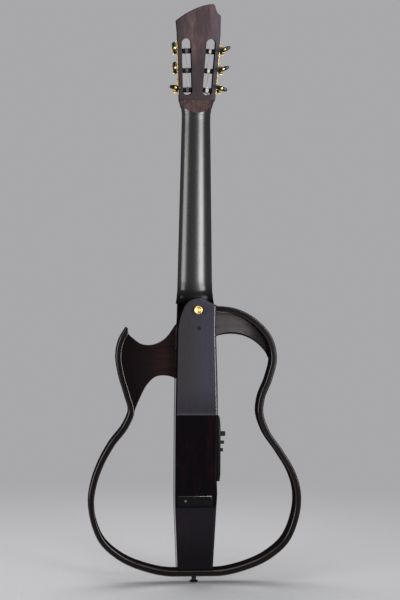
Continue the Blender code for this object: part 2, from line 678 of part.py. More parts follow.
def neck(wood):
    """Sections from the head's base down: height, width beyond the board's, depth, squareness."""
    top = HEAD_BASE_Z
    heel = JOINT_Z
    head_extra = 2 * HEAD_BASE_HALF - board_width(top)
    head_depth = HEAD_THICK / math.cos(HEAD_TILT)
    thin = NECK_DEPTH_NUT
    deep = NECK_DEPTH_HEEL
    sections = [(top - SEAT_GAP, head_extra, head_depth, 3.4),
                (top - 3 * MM, head_extra - 2.4 * MM, head_depth - 0.8 * MM, 3.0),
                (top - 8 * MM, 8.6 * MM, thin + 2.4 * MM, 2.6),
                (top - 16 * MM, 3.2 * MM, thin + 0.9 * MM, 2.3),
                (top - 24 * MM, 1 * MM, thin + 0.3 * MM, 2.1),
                (top - 36 * MM, 0, thin, 2.1), (heel + 44 * MM, 0, deep - 0.6 * MM, 2.1),
                (heel + 26 * MM, 0.6 * MM, deep - 0.3 * MM, 2.4), (heel + 12 * MM, HEEL_FLARE, deep, 3.2),
                (heel, 2 * HEEL_FLARE, deep, 4.5)]
    rings = [neck_ring(z, board_width(z) + extra, depth, square) for z, extra, depth, square in sections]
    shaft = make_object("neck", loft(rings), wood)
    half = TONGUE_WIDTH / 2
    tongue_back = FRONT_Y + TONGUE_DEPTH
    tongue = block((-half, FRONT_Y, heel - TONGUE_LENGTH), (half, tongue_back, heel + 4 * MM))
    fuse(shaft, make_object("guide_tongue", tongue, None))
    bolt = rod(NECK_BOLT_RADIUS + SEAT_GAP, tongue_back - BOLT_REACH - 1 * MM, tongue_back + 5 * MM, "Y",
               (STRAP_BUTTON_X, 0, NECK_BOLT_Z), 12)
    cut(shaft, make_object("cutter_neck_bolt", bolt, None))


def fingerboard(wood):
    """One profile with a crown at every fret, extruded across and narrowed towards the nut."""
    top = NUT_Z - SEAT_GAP
    back = FRONT_Y - SEAT_GAP
    profile = [(back, top), (BOARD_TOP_Y, top)]
    for number in range(1, FRET_COUNT + 1):
        z = fret_z(number)
        half = FRET_WIDTH / 2
        profile += [(BOARD_TOP_Y, z + half), (CROWN_Y, z + half * 0.4), (CROWN_Y, z - half * 0.4),
                    (BOARD_TOP_Y, z - half)]
    profile += [(BOARD_TOP_Y, BOARD_END_Z), (back, BOARD_END_Z)]
    bm = prism(profile, -1, 1, "X")
    for vert in bm.verts:
        vert.co.x = math.copysign(board_width(vert.co.z) / 2, vert.co.x)
    make_object("fingerboard", bm, wood)


def string_x(index, spread):
    """String 1 is the thinnest and lies on the treble side."""
    return spread / 2 - spread * index / 5


def string_y(index, z):
    """Centre of a string above the frets at a height between nut and saddle."""
    action = NUT_ACTION + (SADDLE_ACTION - NUT_ACTION) * (NUT_Z - z) / SCALE_LENGTH
    return CROWN_Y - action - STRING_DIAMETERS[index] / 2


def nut(bone):
    low = NUT_Z
    high = HEAD_BASE_Z
    top = min(string_y(i, NUT_Z) for i in range(6)) - 0.5 * MM
    half = NUT_WIDTH / 2
    outline = [(-half, FRONT_Y - SEAT_GAP), (-half, top)]
    for i in reversed(range(6)):
        x = string_x(i, NUT_SPREAD)
        radius = STRING_DIAMETERS[i] / 2 + SEAT_GAP
        floor = string_y(i, NUT_Z) + radius
        outline += [(x - radius * 1.3, top), (x - radius, floor - radius * 0.4), (x - radius * 0.5, floor),
                    (x + radius * 0.5, floor), (x + radius, floor - radius * 0.4), (x + radius * 1.3, top)]
    outline += [(half, top), (half, FRONT_Y - SEAT_GAP)]
    make_object("nut", prism(outline, low, high, "Z"), bone)


# Head


def head_frame():
    matrix = Matrix.Translation((0, FRONT_Y, HEAD_BASE_Z)) @ Matrix.Rotation(-HEAD_TILT, 4, "X")
    return make_empty("head_frame", matrix)


def head_half(height):
    return HEAD_BASE_HALF + HEAD_TAPER * height


def head_outline():
    """Seen in the head's own plane: straight flaring sides, a crest rising to a peak on the bass side."""
    corner = (39.5 * MM, HEAD_LENGTH - 31.5 * MM)
    peak = (-24 * MM, HEAD_LENGTH)
    notch = (-38 * MM, HEAD_LENGTH - 19.5 * MM)
    crest = bezier(corner, (22 * MM, HEAD_LENGTH - 15 * MM), (-2 * MM, HEAD_LENGTH - 2.5 * MM), peak, 9)
    scoop = bezier(peak, (-29 * MM, HEAD_LENGTH - 1.5 * MM), (-27 * MM, HEAD_LENGTH - 14.5 * MM), notch, 6)
    base = -8 * MM
    straight = SLOT_HIGH + 8 * MM
    treble_side = [(head_half(0), base), (head_half(0), 0), (head_half(straight), straight)]
    bass_side = [(-x, z) for x, z in reversed(treble_side)]
    return treble_side + crest + scoop[1:] + bass_side


def slot_centre(height):
    return head_half(height) - SLOT_RAIL - SLOT_WIDTH / 2


def slot_outline(side):
    radius = SLOT_WIDTH / 2
    points = []
    for height, start in ((SLOT_HIGH - radius, 0), (SLOT_LOW + radius, 180)):
        for step in range(7):
            angle = math.radians(start + 30 * step)
            points.append((side * slot_centre(height) + radius * math.cos(angle),
                           height + radius * math.sin(angle)))
    return points


def slot_ramp(side):
    """The slope that lets the outer strings dip into the slot just above the nut."""
    x = side * slot_centre(SLOT_LOW)
    half = SLOT_WIDTH / 2 - 1.5 * MM
    profile = [(-5 * MM, 4 * MM), (9 * MM, SLOT_LOW + 3 * MM), (-5 * MM, SLOT_LOW + 6 * MM)]
    return prism(profile, x - half, x + half, "X")


def head(wood, veneer_wood, frame):
    below = block((-0.1, -0.1, HEAD_BASE_Z - 0.1), (0.1, 0.1, HEAD_BASE_Z))
    below_cutter = make_object("cutter_head_base", below, None)
    cutters = []
    for side, name in ((1, "treble"), (-1, "bass")):
        slot = prism(slot_outline(side), -10 * MM, HEAD_THICK + 20 * MM)
        cutters.append(make_object("cutter_slot_" + name, slot, None, frame))
        cutters.append(make_object("cutter_ramp_" + name, slot_ramp(side), None, frame))
    stock = make_object("headstock", prism(head_outline(), 0, HEAD_THICK), wood, frame, None)
    round_edges(stock, 1.2 * MM, 1, 40.0)
    skin = prism(head_outline(), -SEAT_GAP - VENEER_THICK, -SEAT_GAP)
    face = make_object("head_veneer", skin, veneer_wood, frame, None)
    above_nut = block((-0.1, -0.1, HEAD_BASE_Z - 0.1), (0.1, 0.1, HEAD_BASE_Z + SEAT_GAP))
    cut(face, make_object("cutter_veneer_base", above_nut, None), *cutters)
    cut(stock, below_cutter, *cutters)
    return stock


# Tuning machines


def side_frame(side, parent):
    """On the head's side: local X across, Y towards the back, Z up the side; mid thickness, at the nut."""
    place = Matrix.Translation((side * head_half(0), HEAD_THICK / 2, 0))
    turn = Matrix.Rotation(side * SIDE_ANGLE, 4, "Y")
    return make_empty("side_frame_treble" if side > 0 else "side_frame_bass", place @ turn, parent)


def tooth_widths():
    """Half widths of a tooth or thread at its root and at its tip, with the backlash taken off."""
    middle = WORM_LEAD / 2 - TOOTH_BACKLASH
    return middle / 2 + 0.14 * MM, middle / 2 - 0.13 * MM


def gear_mesh(side):
    """A spur gear whose teeth lean with the worm's thread; a gap faces the worm."""
    tip = GEAR_PITCH_RADIUS + TOOTH_RISE
    root = GEAR_PITCH_RADIUS - TOOTH_DROP
    wide, narrow = tooth_widths()
    lean = WORM_LEAD / (2 * math.pi * WORM_PITCH_RADIUS)
    rings = []
    centre = side * WORM_OFFSET
    for across in (-GEAR_WIDTH / 2, GEAR_WIDTH / 2):
        shift = -lean * across / GEAR_PITCH_RADIUS
        ring = []
        for tooth in range(GEAR_TEETH):
            middle = 2 * math.pi * (tooth + 0.5) / GEAR_TEETH + shift
            for angle, radius in ((-wide / root, root), (-narrow / tip, tip),
                                  (narrow / tip, tip), (wide / root, root)):
                turn = middle + angle
                ring.append((centre + across, radius * math.sin(turn), radius * math.cos(turn)))
        rings.append(ring)
    return loft(rings)


def worm_mesh():
    """One skin along Y: a right-hand thread whose ridge faces the gear (-Z) at mid length, the root
    between its turns, and a round shaft with a collar at each end."""
    steps = 10
    tip = WORM_PITCH_RADIUS + TOOTH_RISE
    root = WORM_PITCH_RADIUS - TOOTH_DROP
    wide, narrow = tooth_widths()
    columns = int(round(steps * WORM_TURNS))
    bm = bmesh.new()

    def vert(column, along, radius):
        turn = 2 * math.pi * (column - columns / 2) / steps
        return bm.verts.new((-radius * math.sin(turn), along, -radius * math.cos(turn)))

    rows = []
    for column in range(columns + 1):
        place = WORM_LEAD * (column - columns / 2) / steps
        rows.append([vert(column, place + along, radius) for along, radius in
                     ((-wide, root), (-narrow, tip), (narrow, tip), (wide, root))])
    for column in range(columns):
        row, following = rows[column], rows[column + 1]
        for i in range(3):
            bm.faces.new((row[i], row[i + 1], following[i + 1], following[i]))
        if column + steps < columns:
            bm.faces.new((row[3], rows[column + steps][0], rows[column + steps + 1][0], following[3]))
    collar_end = ear_place() - RUN_GAP
    collar_start = collar_end - 0.8 * MM
    front = ear_place() + EAR_THICK + 1.2 * MM
    back = KNOB_START + KNOB_DEPTH - 4 * MM
    for way, last, edge, end in ((-1, 0, 0, front), (1, columns, 3, back)):
        places = [(WORM_HALF + wide + 0.3 * MM, SHAFT_RADIUS), (collar_start, COLLAR_RADIUS),
                  (collar_end, COLLAR_RADIUS), (collar_end, SHAFT_RADIUS), (end, SHAFT_RADIUS)]
        turns = [last - way * k for k in range(steps + 1)]
        rings = [[vert(column, way * place, radius) for column in turns[:steps]] for place, radius in places]
        rim = rings[0] + [rings[0][0]]
        for k in range(steps):
            bm.faces.new((rows[turns[k]][edge], rows[turns[k + 1]][edge], rim[k + 1], rim[k]))
        order = rows[last] if way < 0 else list(reversed(rows[last]))
        bm.faces.new([rings[0][0]] + order + [rows[turns[steps]][edge]])
        for ring, following in zip(rings, rings[1:]):
            for k in range(steps):
                j = (k + 1) % steps
                bm.faces.new((ring[k], ring[j], following[j], following[k]))
        bm.faces.new(rings[-1])
    return bm


def ear_place():
    """Inner face of a bracket ear, measured from the gear's centre line."""
    return WORM_HALF + 2.6 * MM


def tuner_plate(name, side, gold, parent):
    """A base strip with three pairs of bent ears that carry the worm shafts."""
    first = ROLLER_LOW - PLATE_END
    last = ROLLER_LOW + 2 * ROLLER_SPACING + PLATE_END + CENTRE_DISTANCE
    near = side * SEAT_GAP
    far = side * (SEAT_GAP + PLATE_THICK)
    ends = []
    half = PLATE_WIDTH / 2
    for centre, start in ((last - half, 0), (first + half, 180)):
        for step in range(7):
            angle = math.radians(start + 30 * step)
            ends.append((half * math.cos(angle), centre + half * math.sin(angle)))
    plate = make_object(name, prism(ends, min(near, far), max(near, far), "X"), gold, parent, None)
    reach = side * (WORM_OFFSET + SHAFT_RADIUS + EAR_MARGIN)
    root_x = side * (SEAT_GAP + PLATE_THICK * 0.5)
    nose = reach - side * EAR_MARGIN / 2
    shoulder = reach - side * EAR_HALF
    inner = ear_place()
    for k in range(3):
        height = ROLLER_LOW + k * ROLLER_SPACING
        worm_height = height + CENTRE_DISTANCE
        for way in (-1, 1):
            low_y, high_y = sorted((way * inner, way * (inner + EAR_THICK)))
            upper = [(reach, 0), (nose, EAR_HALF * 0.6), (shoulder, EAR_HALF), (root_x, EAR_HALF + 1.2 * MM)]
            lower = [(x, -z) for x, z in reversed(upper[1:])]
            ear = prism([(x, worm_height + z) for x, z in upper + lower], low_y, high_y)
            fuse(plate, make_object(f"guide_ear_{name}_{k}_{way}", ear, None, parent))
        bore = rod(SHAFT_RADIUS + RUN_GAP, -inner - 5 * MM, inner + 5 * MM, "Y",
                   (side * WORM_OFFSET, 0, worm_height), 12)
        post = rod(ROLLER_NECK_RADIUS + RUN_GAP, -5 * MM, 5 * MM, "X", (0, 0, height), 12)
        cut(plate, make_object(f"cutter_bore_{name}_{k}", bore, None, parent))
        cut(plate, make_object(f"cutter_post_{name}_{k}", post, None, parent))


def roller_reach():
    """How far a roller runs inwards from the head's side: across the rail, the slot and into the web."""
    return SLOT_RAIL + SLOT_WIDTH + ROLLER_TIP_LENGTH


def roller(name, side, black, parent):
    inner = SLOT_RAIL + SLOT_WIDTH
    hub = WORM_OFFSET - GEAR_WIDTH / 2 - SEAT_GAP
    barrel_out = -(SLOT_RAIL + 1.2 * MM)
    barrel_in = -(inner - 1.2 * MM)
    profile = [(hub, 0), (hub, ROLLER_NECK_RADIUS), (barrel_out, ROLLER_NECK_RADIUS),
               (barrel_out, ROLLER_RADIUS), (barrel_in, ROLLER_RADIUS), (barrel_in, ROLLER_TIP_RADIUS),
               (-(roller_reach() - 1 * MM), ROLLER_TIP_RADIUS), (-(roller_reach() - 1 * MM), 0)]
    return make_object(name, turned([(side * p, r) for p, r in profile], 14, "X"), black, parent)


def roller_holes(side, parent, name):
    """Bores through the outer rail and into the web, one pair for each roller."""
    cutters = []
    for k in range(3):
        height = ROLLER_LOW + k * ROLLER_SPACING
        profile = [(5 * MM, 0), (5 * MM, ROLLER_NECK_RADIUS + RUN_GAP),
                   (-(SLOT_RAIL + 4 * MM), ROLLER_NECK_RADIUS + RUN_GAP),
                   (-(SLOT_RAIL + 4 * MM), ROLLER_TIP_RADIUS + RUN_GAP),
                   (-roller_reach(), ROLLER_TIP_RADIUS + RUN_GAP), (-roller_reach(), 0)]
        bm = turned([(side * p, r) for p, r in profile], 14, "X", (0, 0, height))
        cutters.append(make_object(f"cutter_roller_{name}_{k}", bm, None, parent))
    return cutters


def knob_mesh(angle):
    """An oval button with a blind bore for the shaft; angle turns its long way from local X."""
    bore = SHAFT_RADIUS + SEAT_GAP
    end = KNOB_START + KNOB_DEPTH
    long_half = KNOB_LONG / 2
    short_half = KNOB_SHORT / 2
    neck_radius = bore + 1.2 * MM
    sections = [(end - 3.5 * MM, bore, bore), (KNOB_START, bore, bore),
                (KNOB_START, neck_radius, neck_radius),
                (KNOB_START + 2 * MM, neck_radius, neck_radius),
                (KNOB_START + 3.2 * MM, long_half * 0.72, short_half * 0.86),
                (KNOB_START + 5 * MM, long_half * 0.96, short_half), (end - 2 * MM, long_half, short_half),
                (end - 0.5 * MM, long_half * 0.86, short_half * 0.84),
                (end, long_half * 0.6, short_half * 0.5)]
    rings = []
    for place, long_way, short_way in sections:
        ring = []
        for turn in np.linspace(0, 2 * math.pi, 12, endpoint=False):
            across = Vector((long_way * math.cos(turn), short_way * math.sin(turn)))
            across.rotate(Matrix.Rotation(angle, 2))
            ring.append((across.x, place, across.y))
        rings.append(ring)
    return loft(rings)


# Long way of each knob at rest, as turned by the last tuning, for strings 1 to 6
KNOB_ANGLES = [math.radians(a) for a in (12, 86, 82, -28, -25, 14)]


def machine_place(index):
    """Side of the head and roller row of a string: 1 and 6 wind nearest the nut, 3 and 4 farthest."""
    side = 1 if index < 3 else -1
    row = index if index < 3 else 5 - index
    return side, row


def tuning_machines(gold, brass, black, frames, stock):
    for side, name in ((1, "treble"), (-1, "bass")):
        tuner_plate("tuner_plate_" + name, side, gold, frames[side])
        cut(stock, *roller_holes(side, frames[side], name))
    for index in range(6):
        side, row = machine_place(index)
        height = ROLLER_LOW + row * ROLLER_SPACING
        number = index + 1
        roller_axis = make_empty(f"roller_axis_{number}", Matrix.Translation((0, 0, height)), frames[side])
        worm_place = Matrix.Translation((side * WORM_OFFSET, 0, height + CENTRE_DISTANCE))
        knob_axis = make_empty(f"knob_axis_{number}", worm_place, frames[side])
        roller(f"roller_{number}", side, black, roller_axis)
        make_object(f"gear_{number}", gear_mesh(side), brass, roller_axis)
        make_object(f"worm_{number}", worm_mesh(), gold, knob_axis)
        make_object(f"tuner_knob_{number}", knob_mesh(KNOB_ANGLES[index]), black, knob_axis)


# Strings


def winding_points(index, frame_matrix):
    """Turns round the roller, from where the string meets it in front, in the side frame's axes."""
    side, row = machine_place(index)
    diameter = STRING_DIAMETERS[index]
    steps = 10
    radius = (ROLLER_RADIUS + RUN_GAP + diameter / 2) / math.cos(math.pi / steps)
    centre_x = -side * (SLOT_RAIL + SLOT_WIDTH / 2)
    pitch = diameter + WINDING_SPACE
    height = ROLLER_LOW + row * ROLLER_SPACING
    total = int(round(steps * WINDING_TURNS))
    points = []
    for step in range(total + 1):
        turn = 2 * math.pi * step / steps
        across = centre_x + side * pitch * (WINDING_TURNS / 2 - step / steps)
        local = Vector((across, -radius * math.cos(turn), height + radius * math.sin(turn)))
        points.append(frame_matrix @ local)
    return points


def least_gap(points, diameter, apart):
    """Smallest clear distance between parts of a tube that lie at least this many points apart."""
    line = np.array([tuple(point) for point in points])
    least = 1.0
    for i in range(len(line)):
        for j in range(i + apart, len(line) - 1):
            a, b = line[j], line[j + 1]
            t = np.clip(np.dot(line[i] - a, b - a) / np.dot(b - a, b - a), 0, 1)
            least = min(least, float(np.linalg.norm(line[i] - a - t * (b - a))) - diameter)
    return least


def strings(nylon, wound, frames):
    bpy.context.view_layer.update()
    for index in range(6):
        side, _ = machine_place(index)
        diameter = STRING_DIAMETERS[index]
        nut_x = string_x(index, NUT_SPREAD)
        saddle_x = string_x(index, SADDLE_SPREAD)
        crown = Vector((saddle_x, string_y(index, SADDLE_Z) - 0.1 * MM, SADDLE_Z))
        hole_y = tie_hole_y()
        front = tie_block_front()
        points = [Vector((saddle_x, hole_y, front - TIE_BLOCK_LENGTH - 2.5 * MM)),
                  Vector((saddle_x, hole_y, front + 0.4 * MM)),
                  crown + Vector((0, 0.35 * MM, -1.0 * MM)), crown, crown + Vector((0, 0, 1.5 * MM)),
                  Vector((nut_x, string_y(index, NUT_Z), NUT_Z - 0.5 * MM)),
                  Vector((nut_x, string_y(index, NUT_Z), HEAD_BASE_Z + SEAT_GAP))]
        turns = winding_points(index, frames[side].matrix_world)
        gap = least_gap(turns, diameter, 8)
        print(f"string_{index + 1}: least gap between its turns {gap / MM:.2f} mm")
        points += turns
        curve = bpy.data.curves.new(f"string_{index + 1}", "CURVE")
        curve.dimensions = "3D"
        curve.bevel_depth = diameter / 2
        curve.bevel_resolution = 1
        curve.use_fill_caps = True
        spline = curve.splines.new("POLY")
        spline.points.add(len(points) - 1)
        for knot, point in zip(spline.points, points):
            knot.co = (*point, 1.0)
        obj = bpy.data.objects.new(f"string_{index + 1}", curve)
        bpy.context.scene.collection.objects.link(obj)
        curve.materials.append(nylon if index < 3 else wound)


# Bridge


def tie_block_front():
    return SADDLE_Z - 11 * MM


def tie_hole_y():
    return FRONT_Y - SEAT_GAP - BRIDGE_HEIGHT + 1.2 * MM


def bridge(wood, bone, black):
    base = FRONT_Y - SEAT_GAP
    top = base - BRIDGE_HEIGHT
    tie_top = base - TIE_BLOCK_HEIGHT
    nose = SADDLE_Z + BRIDGE_NOSE
    tail = SADDLE_Z - BRIDGE_TAIL
    front = tie_block_front()
    back = front - TIE_BLOCK_LENGTH
    slot = SADDLE_THICK / 2 + SEAT_GAP
    slot_floor = top + SADDLE_SLOT_DEPTH
    gutter = tie_hole_y() + 2 * MM
    profile = [(base, tail), (base, nose), (base - 3.5 * MM, nose), (top, nose - 4 * MM),
               (top, SADDLE_Z + slot), (slot_floor, SADDLE_Z + slot), (slot_floor, SADDLE_Z - slot),
               (top, SADDLE_Z - slot), (top, SADDLE_Z - slot - 2.2 * MM), (gutter, front + 2 * MM),
               (gutter, front),
               (tie_top, front), (tie_top, back), (base - 3 * MM, back - 0.5 * MM), (base - 2 * MM, tail)]
    block_obj = make_object("bridge", prism(profile, -BRIDGE_WIDTH / 2, BRIDGE_WIDTH / 2, "X"), wood)
    for index in range(6):
        x = string_x(index, SADDLE_SPREAD)
        hole = rod(TIE_HOLE_RADIUS, back - 5 * MM, front + 5 * MM, "Z", (x, tie_hole_y(), 0), 8)
        cut(block_obj, make_object(f"cutter_tie_{index + 1}", hole, None))
    pickup_low = slot_floor - SEAT_GAP
    half = SADDLE_WIDTH / 2
    thick = SADDLE_THICK / 2
    make_object("piezo_pickup", block((-half, pickup_low - PICKUP_HEIGHT, SADDLE_Z - thick + 0.2 * MM),
                                      (half, pickup_low, SADDLE_Z + thick - 0.2 * MM)), black)
    crown = max(string_y(i, SADDLE_Z) + STRING_DIAMETERS[i] / 2 for i in range(6)) + SEAT_GAP
    foot = pickup_low - PICKUP_HEIGHT - SEAT_GAP
    arch = [(foot, SADDLE_Z - thick), (crown + 0.8 * MM, SADDLE_Z - thick), (crown, SADDLE_Z - thick * 0.4),
            (crown, SADDLE_Z + thick * 0.4), (crown + 0.8 * MM, SADDLE_Z + thick), (foot, SADDLE_Z + thick)]
    make_object("saddle", prism(arch, -half, half, "X"), bone)


# Controls


def panel_outline():
    """Side panel seen from the back: it follows the core's side and swells outwards."""
    inner = [(-(half_width(z) + SEAT_GAP), z) for z in (PANEL_LOW_Z, RIDGE_Z - 4 * MM)]
    face = panel_face_x()
    return inner + [(face + 5 * MM, PANEL_TOP_Z), (face + 3 * MM, PANEL_TOP_Z - 6 * MM),
                    (face + 1 * MM, PANEL_TOP_Z - 15 * MM), (face, PANEL_TOP_Z - 26 * MM),
                    (face, PANEL_LOW_Z + 12 * MM), (face + 1.2 * MM, PANEL_LOW_Z + 5 * MM),
                    (face + 3 * MM, PANEL_LOW_Z)]


def panel_face_x():
    return -(CORE_RIDGE_HALF + PANEL_PROUD)


def control_frame(name, z):
    """Local Z points out of the panel, towards -X."""
    matrix = Matrix.Translation((panel_face_x(), CONTROL_Y, z)) @ Matrix.Rotation(-math.pi / 2, 4, "Y")
    return make_empty(name, matrix)


def controls(black, chrome, green, rubber):
    shell = prism(panel_outline(), PANEL_FRONT_Y, PANEL_BACK_Y)
    panel = make_object("control_panel", shell, black, None, None)
    round_edges(panel, 1.0 * MM, 1, 50.0)
    for name, z, radius in (("volume", VOLUME_Z, CONTROL_SHAFT), ("tone", TONE_Z, CONTROL_SHAFT),
                            ("button", BUTTON_Z, BUTTON_RADIUS),
                            ("output", OUTPUT_JACK_Z, OUTPUT_BORE + JACK_WALL),
                            ("phones", PHONES_JACK_Z, PHONES_BORE + JACK_WALL)):
        hole = rod(radius + RUN_GAP, -0.08, -0.02, "X", (0, CONTROL_Y, z), 14)
        cut(panel, make_object("cutter_panel_" + name, hole, None))
    for name, z, bore in (("output", OUTPUT_JACK_Z, OUTPUT_BORE), ("phones", PHONES_JACK_Z, PHONES_BORE)):
        flange = jack_flange(bore)
        seat = rod(flange + SEAT_GAP, -0.08, panel_face_x() + 1.6 * MM, "X", (0, CONTROL_Y, z), 16)
        cut(panel, make_object("cutter_flange_" + name, seat, None))
        jack(name + "_jack", z, bore, chrome)
    knob("volume_knob", VOLUME_Z, VOLUME_RADIUS, VOLUME_PROUD, rubber)
    knob("tone_knob", TONE_Z, TONE_RADIUS, TONE_PROUD, rubber)
    cap = control_frame("button_axis", BUTTON_Z)
    stem = -BUTTON_STEM
    foot = -4.2 * MM
    rim = 0.6 * MM
    profile = [(stem, 0), (stem, CONTROL_SHAFT), (foot, CONTROL_SHAFT), (foot, BUTTON_RADIUS),
               (BUTTON_PROUD - rim, BUTTON_RADIUS), (BUTTON_PROUD, BUTTON_RADIUS - rim), (BUTTON_PROUD, 0)]
    make_object("effect_button", turned(profile, 16, "Z"), rubber, cap)
    circuit_board(green)


def jack_flange(bore):
    return bore + JACK_WALL + 1.8 * MM


def jack(name, z, bore, chrome):
    """A threaded sleeve with a flush front flange and a blind socket."""
    outer = bore + JACK_WALL
    seat = -1.6 * MM + SEAT_GAP
    profile = [(-JACK_LENGTH + 2 * MM, 0), (-JACK_LENGTH + 2 * MM, bore), (0, bore), (0, jack_flange(bore)),
               (seat, jack_flange(bore)), (seat, outer), (-JACK_LENGTH, outer), (-JACK_LENGTH, 0)]
    make_object(name, turned(profile, 16, "Z"), chrome, control_frame(name + "_axis", z))


def knob(name, z, radius, proud, rubber):
    profile = [(-KNOB_SHAFT, 0), (-KNOB_SHAFT, CONTROL_SHAFT), (RUN_GAP, CONTROL_SHAFT), (RUN_GAP, radius),
               (proud - 0.9 * MM, radius * 0.94), (proud, radius * 0.78), (proud, 0)]
    make_object(name, turned(profile, 18, "Z"), rubber, control_frame(name + "_axis", z))


def circuit_board(green):
    """A board on the pocket's floor with two potentiometers and a switch, drilled for their shafts."""
    low, high = pocket_box()
    floor = high[0] - SEAT_GAP
    deck = floor - BOARD_PCB_THICK
    board_low = OUTPUT_JACK_Z + 11 * MM
    plate = block((deck, low[1] + 1 * MM, board_low), (floor, high[1] - 1 * MM, high[2] - SEAT_GAP))
    board = make_object("circuit_board", plate, green, None, None)
    can_end = panel_face_x() + CAN_DEPTH
    for name, z, half, depth in (("volume", VOLUME_Z, 6 * MM, KNOB_SHAFT),
                                 ("tone", TONE_Z, 5.5 * MM, KNOB_SHAFT),
                                 ("switch", BUTTON_Z, 4.5 * MM, BUTTON_STEM + BUTTON_TRAVEL)):
        can = block((can_end, CONTROL_Y - half, z - half), (deck + 0.2 * MM, CONTROL_Y + half, z + half))
        fuse(board, make_object("guide_can_" + name, can, None))
        reach = panel_face_x() + depth + RUN_GAP
        shaft = rod(CONTROL_SHAFT + RUN_GAP, can_end - 5 * MM, reach, "X", (0, CONTROL_Y, z), 12)
        cut(board, make_object("cutter_can_" + name, shaft, None))


# Battery tray


def battery_tray(black, gloss, cell):
    half = TRAY_WIDTH / 2
    tall = TRAY_HEIGHT / 2
    back = TRAY_FACE_Y
    floor = TRAY_FACE_Y - TRAY_DEPTH
    centre = TRAY_CENTRE_Z
    gap = RUN_GAP
    outer = gap + BAY_WALL
    bay = make_object("battery_bay", block((-half - outer, floor - outer, centre - tall - outer),
                                           (half + outer, back, centre + tall + outer)), black)
    inside = block((-half - gap, floor - gap, centre - tall - gap),
                   (half + gap, back + 5 * MM, centre + tall + gap))
    cut(bay, make_object("cutter_bay", inside, None))
    slide = make_empty("tray_slide", Matrix.Translation((0, back, centre)))
    tray = make_object("battery_drawer", block((-half, -TRAY_DEPTH, -tall), (half, 0, tall)), gloss, slide)
    length, width, height = BATTERY_SIZE
    fit = SEAT_GAP
    hollow = block((-length / 2 - fit, -TRAY_FACE_THICK - width - 2 * fit, -tall + TRAY_WALL),
                   (length / 2 + fit, -TRAY_FACE_THICK, tall + 5 * MM))
    cut(tray, make_object("cutter_tray", hollow, None, slide))
    base = -tall + TRAY_WALL + fit
    make_object("battery", block((-length / 2, -TRAY_FACE_THICK - fit - width, base),
                                 (length / 2, -TRAY_FACE_THICK - fit, base + height)), cell, slide)


# Strap fittings and bolt


def fittings(gold, black, steel):
    start = BACK_Y + SEAT_GAP
    end = start + STRAP_BUTTON_HEIGHT
    radius = STRAP_BUTTON_RADIUS
    foot = BACK_Y - BUTTON_SHANK
    profile = [(foot, 0), (foot, PIN_SHANK_RADIUS), (start, PIN_SHANK_RADIUS),
               (start, radius * 0.86), (start + 1.4 * MM, radius * 0.74), (start + 3.4 * MM, radius * 0.52),
               (end - 3.2 * MM, radius * 0.6), (end - 2 * MM, radius), (end - 0.7 * MM, radius),
               (end, radius * 0.82), (end, 0)]
    make_object("strap_button", turned(profile, 18, "Y", (STRAP_BUTTON_X, 0, STRAP_BUTTON_Z)), gold)
    low = -END_PIN_DROP
    radius = END_PIN_RADIUS
    profile = [(low, 0), (low, radius * 0.8), (low + 1 * MM, radius), (low + 2.4 * MM, radius),
               (low + 4.4 * MM, radius * 0.55), (-3 * MM, radius * 0.6), (-SEAT_GAP, radius * 0.95),
               (-SEAT_GAP, PIN_SHANK_RADIUS), (TAIL_Z + PIN_SHANK, PIN_SHANK_RADIUS), (TAIL_Z + PIN_SHANK, 0)]
    make_object("end_pin", turned(profile, 16, "Z", (0, END_PIN_Y, 0)), black)
    inner = FRONT_Y + TONGUE_DEPTH - BOLT_REACH
    head = BACK_Y - BOLT_HEAD_SUNK
    profile = [(inner, 0), (inner, NECK_BOLT_RADIUS), (head, NECK_BOLT_RADIUS), (head, BOLT_HEAD_RADIUS),
               (BACK_Y - 0.6 * MM, BOLT_HEAD_RADIUS), (BACK_Y - 0.3 * MM, BOLT_HEAD_RADIUS - 0.3 * MM),
               (BACK_Y - 0.3 * MM, 0)]
    make_object("neck_bolt", turned(profile, 12, "Y", (STRAP_BUTTON_X, 0, NECK_BOLT_Z)), steel)


def build():
    clear_scene()
    dark_wood = paint("dark_wood", (0.030, 0.020, 0.019), 0.38)
    core_wood = paint("core_wood", (0.036, 0.026, 0.026), 0.34)
    red_wood = paint("red_wood", (0.045, 0.022, 0.019), 0.36)
    head_wood = paint("head_wood", (0.055, 0.032, 0.028), 0.40)
    ebony = paint("ebony", (0.012, 0.010, 0.010), 0.45)
    bone = paint("bone", (0.80, 0.76, 0.66), 0.40)
    gold = paint("gold", (0.83, 0.58, 0.20), 0.22, 1.0)
    brass = paint("brass", (0.78, 0.60, 0.28), 0.30, 1.0)
    black = paint("black_plastic", (0.012, 0.012, 0.013), 0.35)
    gloss = paint("gloss_black", (0.006, 0.006, 0.007), 0.12)
    rubber = paint("soft_black", (0.014, 0.014, 0.014), 0.55)
    chrome = paint("chrome", (0.70, 0.70, 0.72), 0.18, 1.0)
    steel = paint("black_steel", (0.02, 0.02, 0.022), 0.35, 0.8)
    green = paint("circuit_green", (0.01, 0.09, 0.03), 0.45)
    cell = paint("battery_wrap", (0.10, 0.10, 0.11), 0.35)
    nylon = paint("nylon", (0.86, 0.86, 0.84), 0.25)
    wound = paint("wound_silver", (0.66, 0.64, 0.60), 0.32, 0.9)
    core_block(core_wood)
    bent_frames(dark_wood)
    wings(red_wood)
    neck(dark_wood)
    fingerboard(ebony)
    nut(bone)
    frame = head_frame()
    stock = head(head_wood, ebony, frame)
    frames = {1: side_frame(1, frame), -1: side_frame(-1, frame)}
    tuning_machines(gold, brass, black, frames, stock)
    bridge(ebony, bone, black)
    strings(nylon, wound, frames)
    controls(black, chrome, green, rubber)
    battery_tray(black, gloss, cell)
    fittings(gold, black, steel)


build()
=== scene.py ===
# The silent guitar from behind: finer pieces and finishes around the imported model.
import math

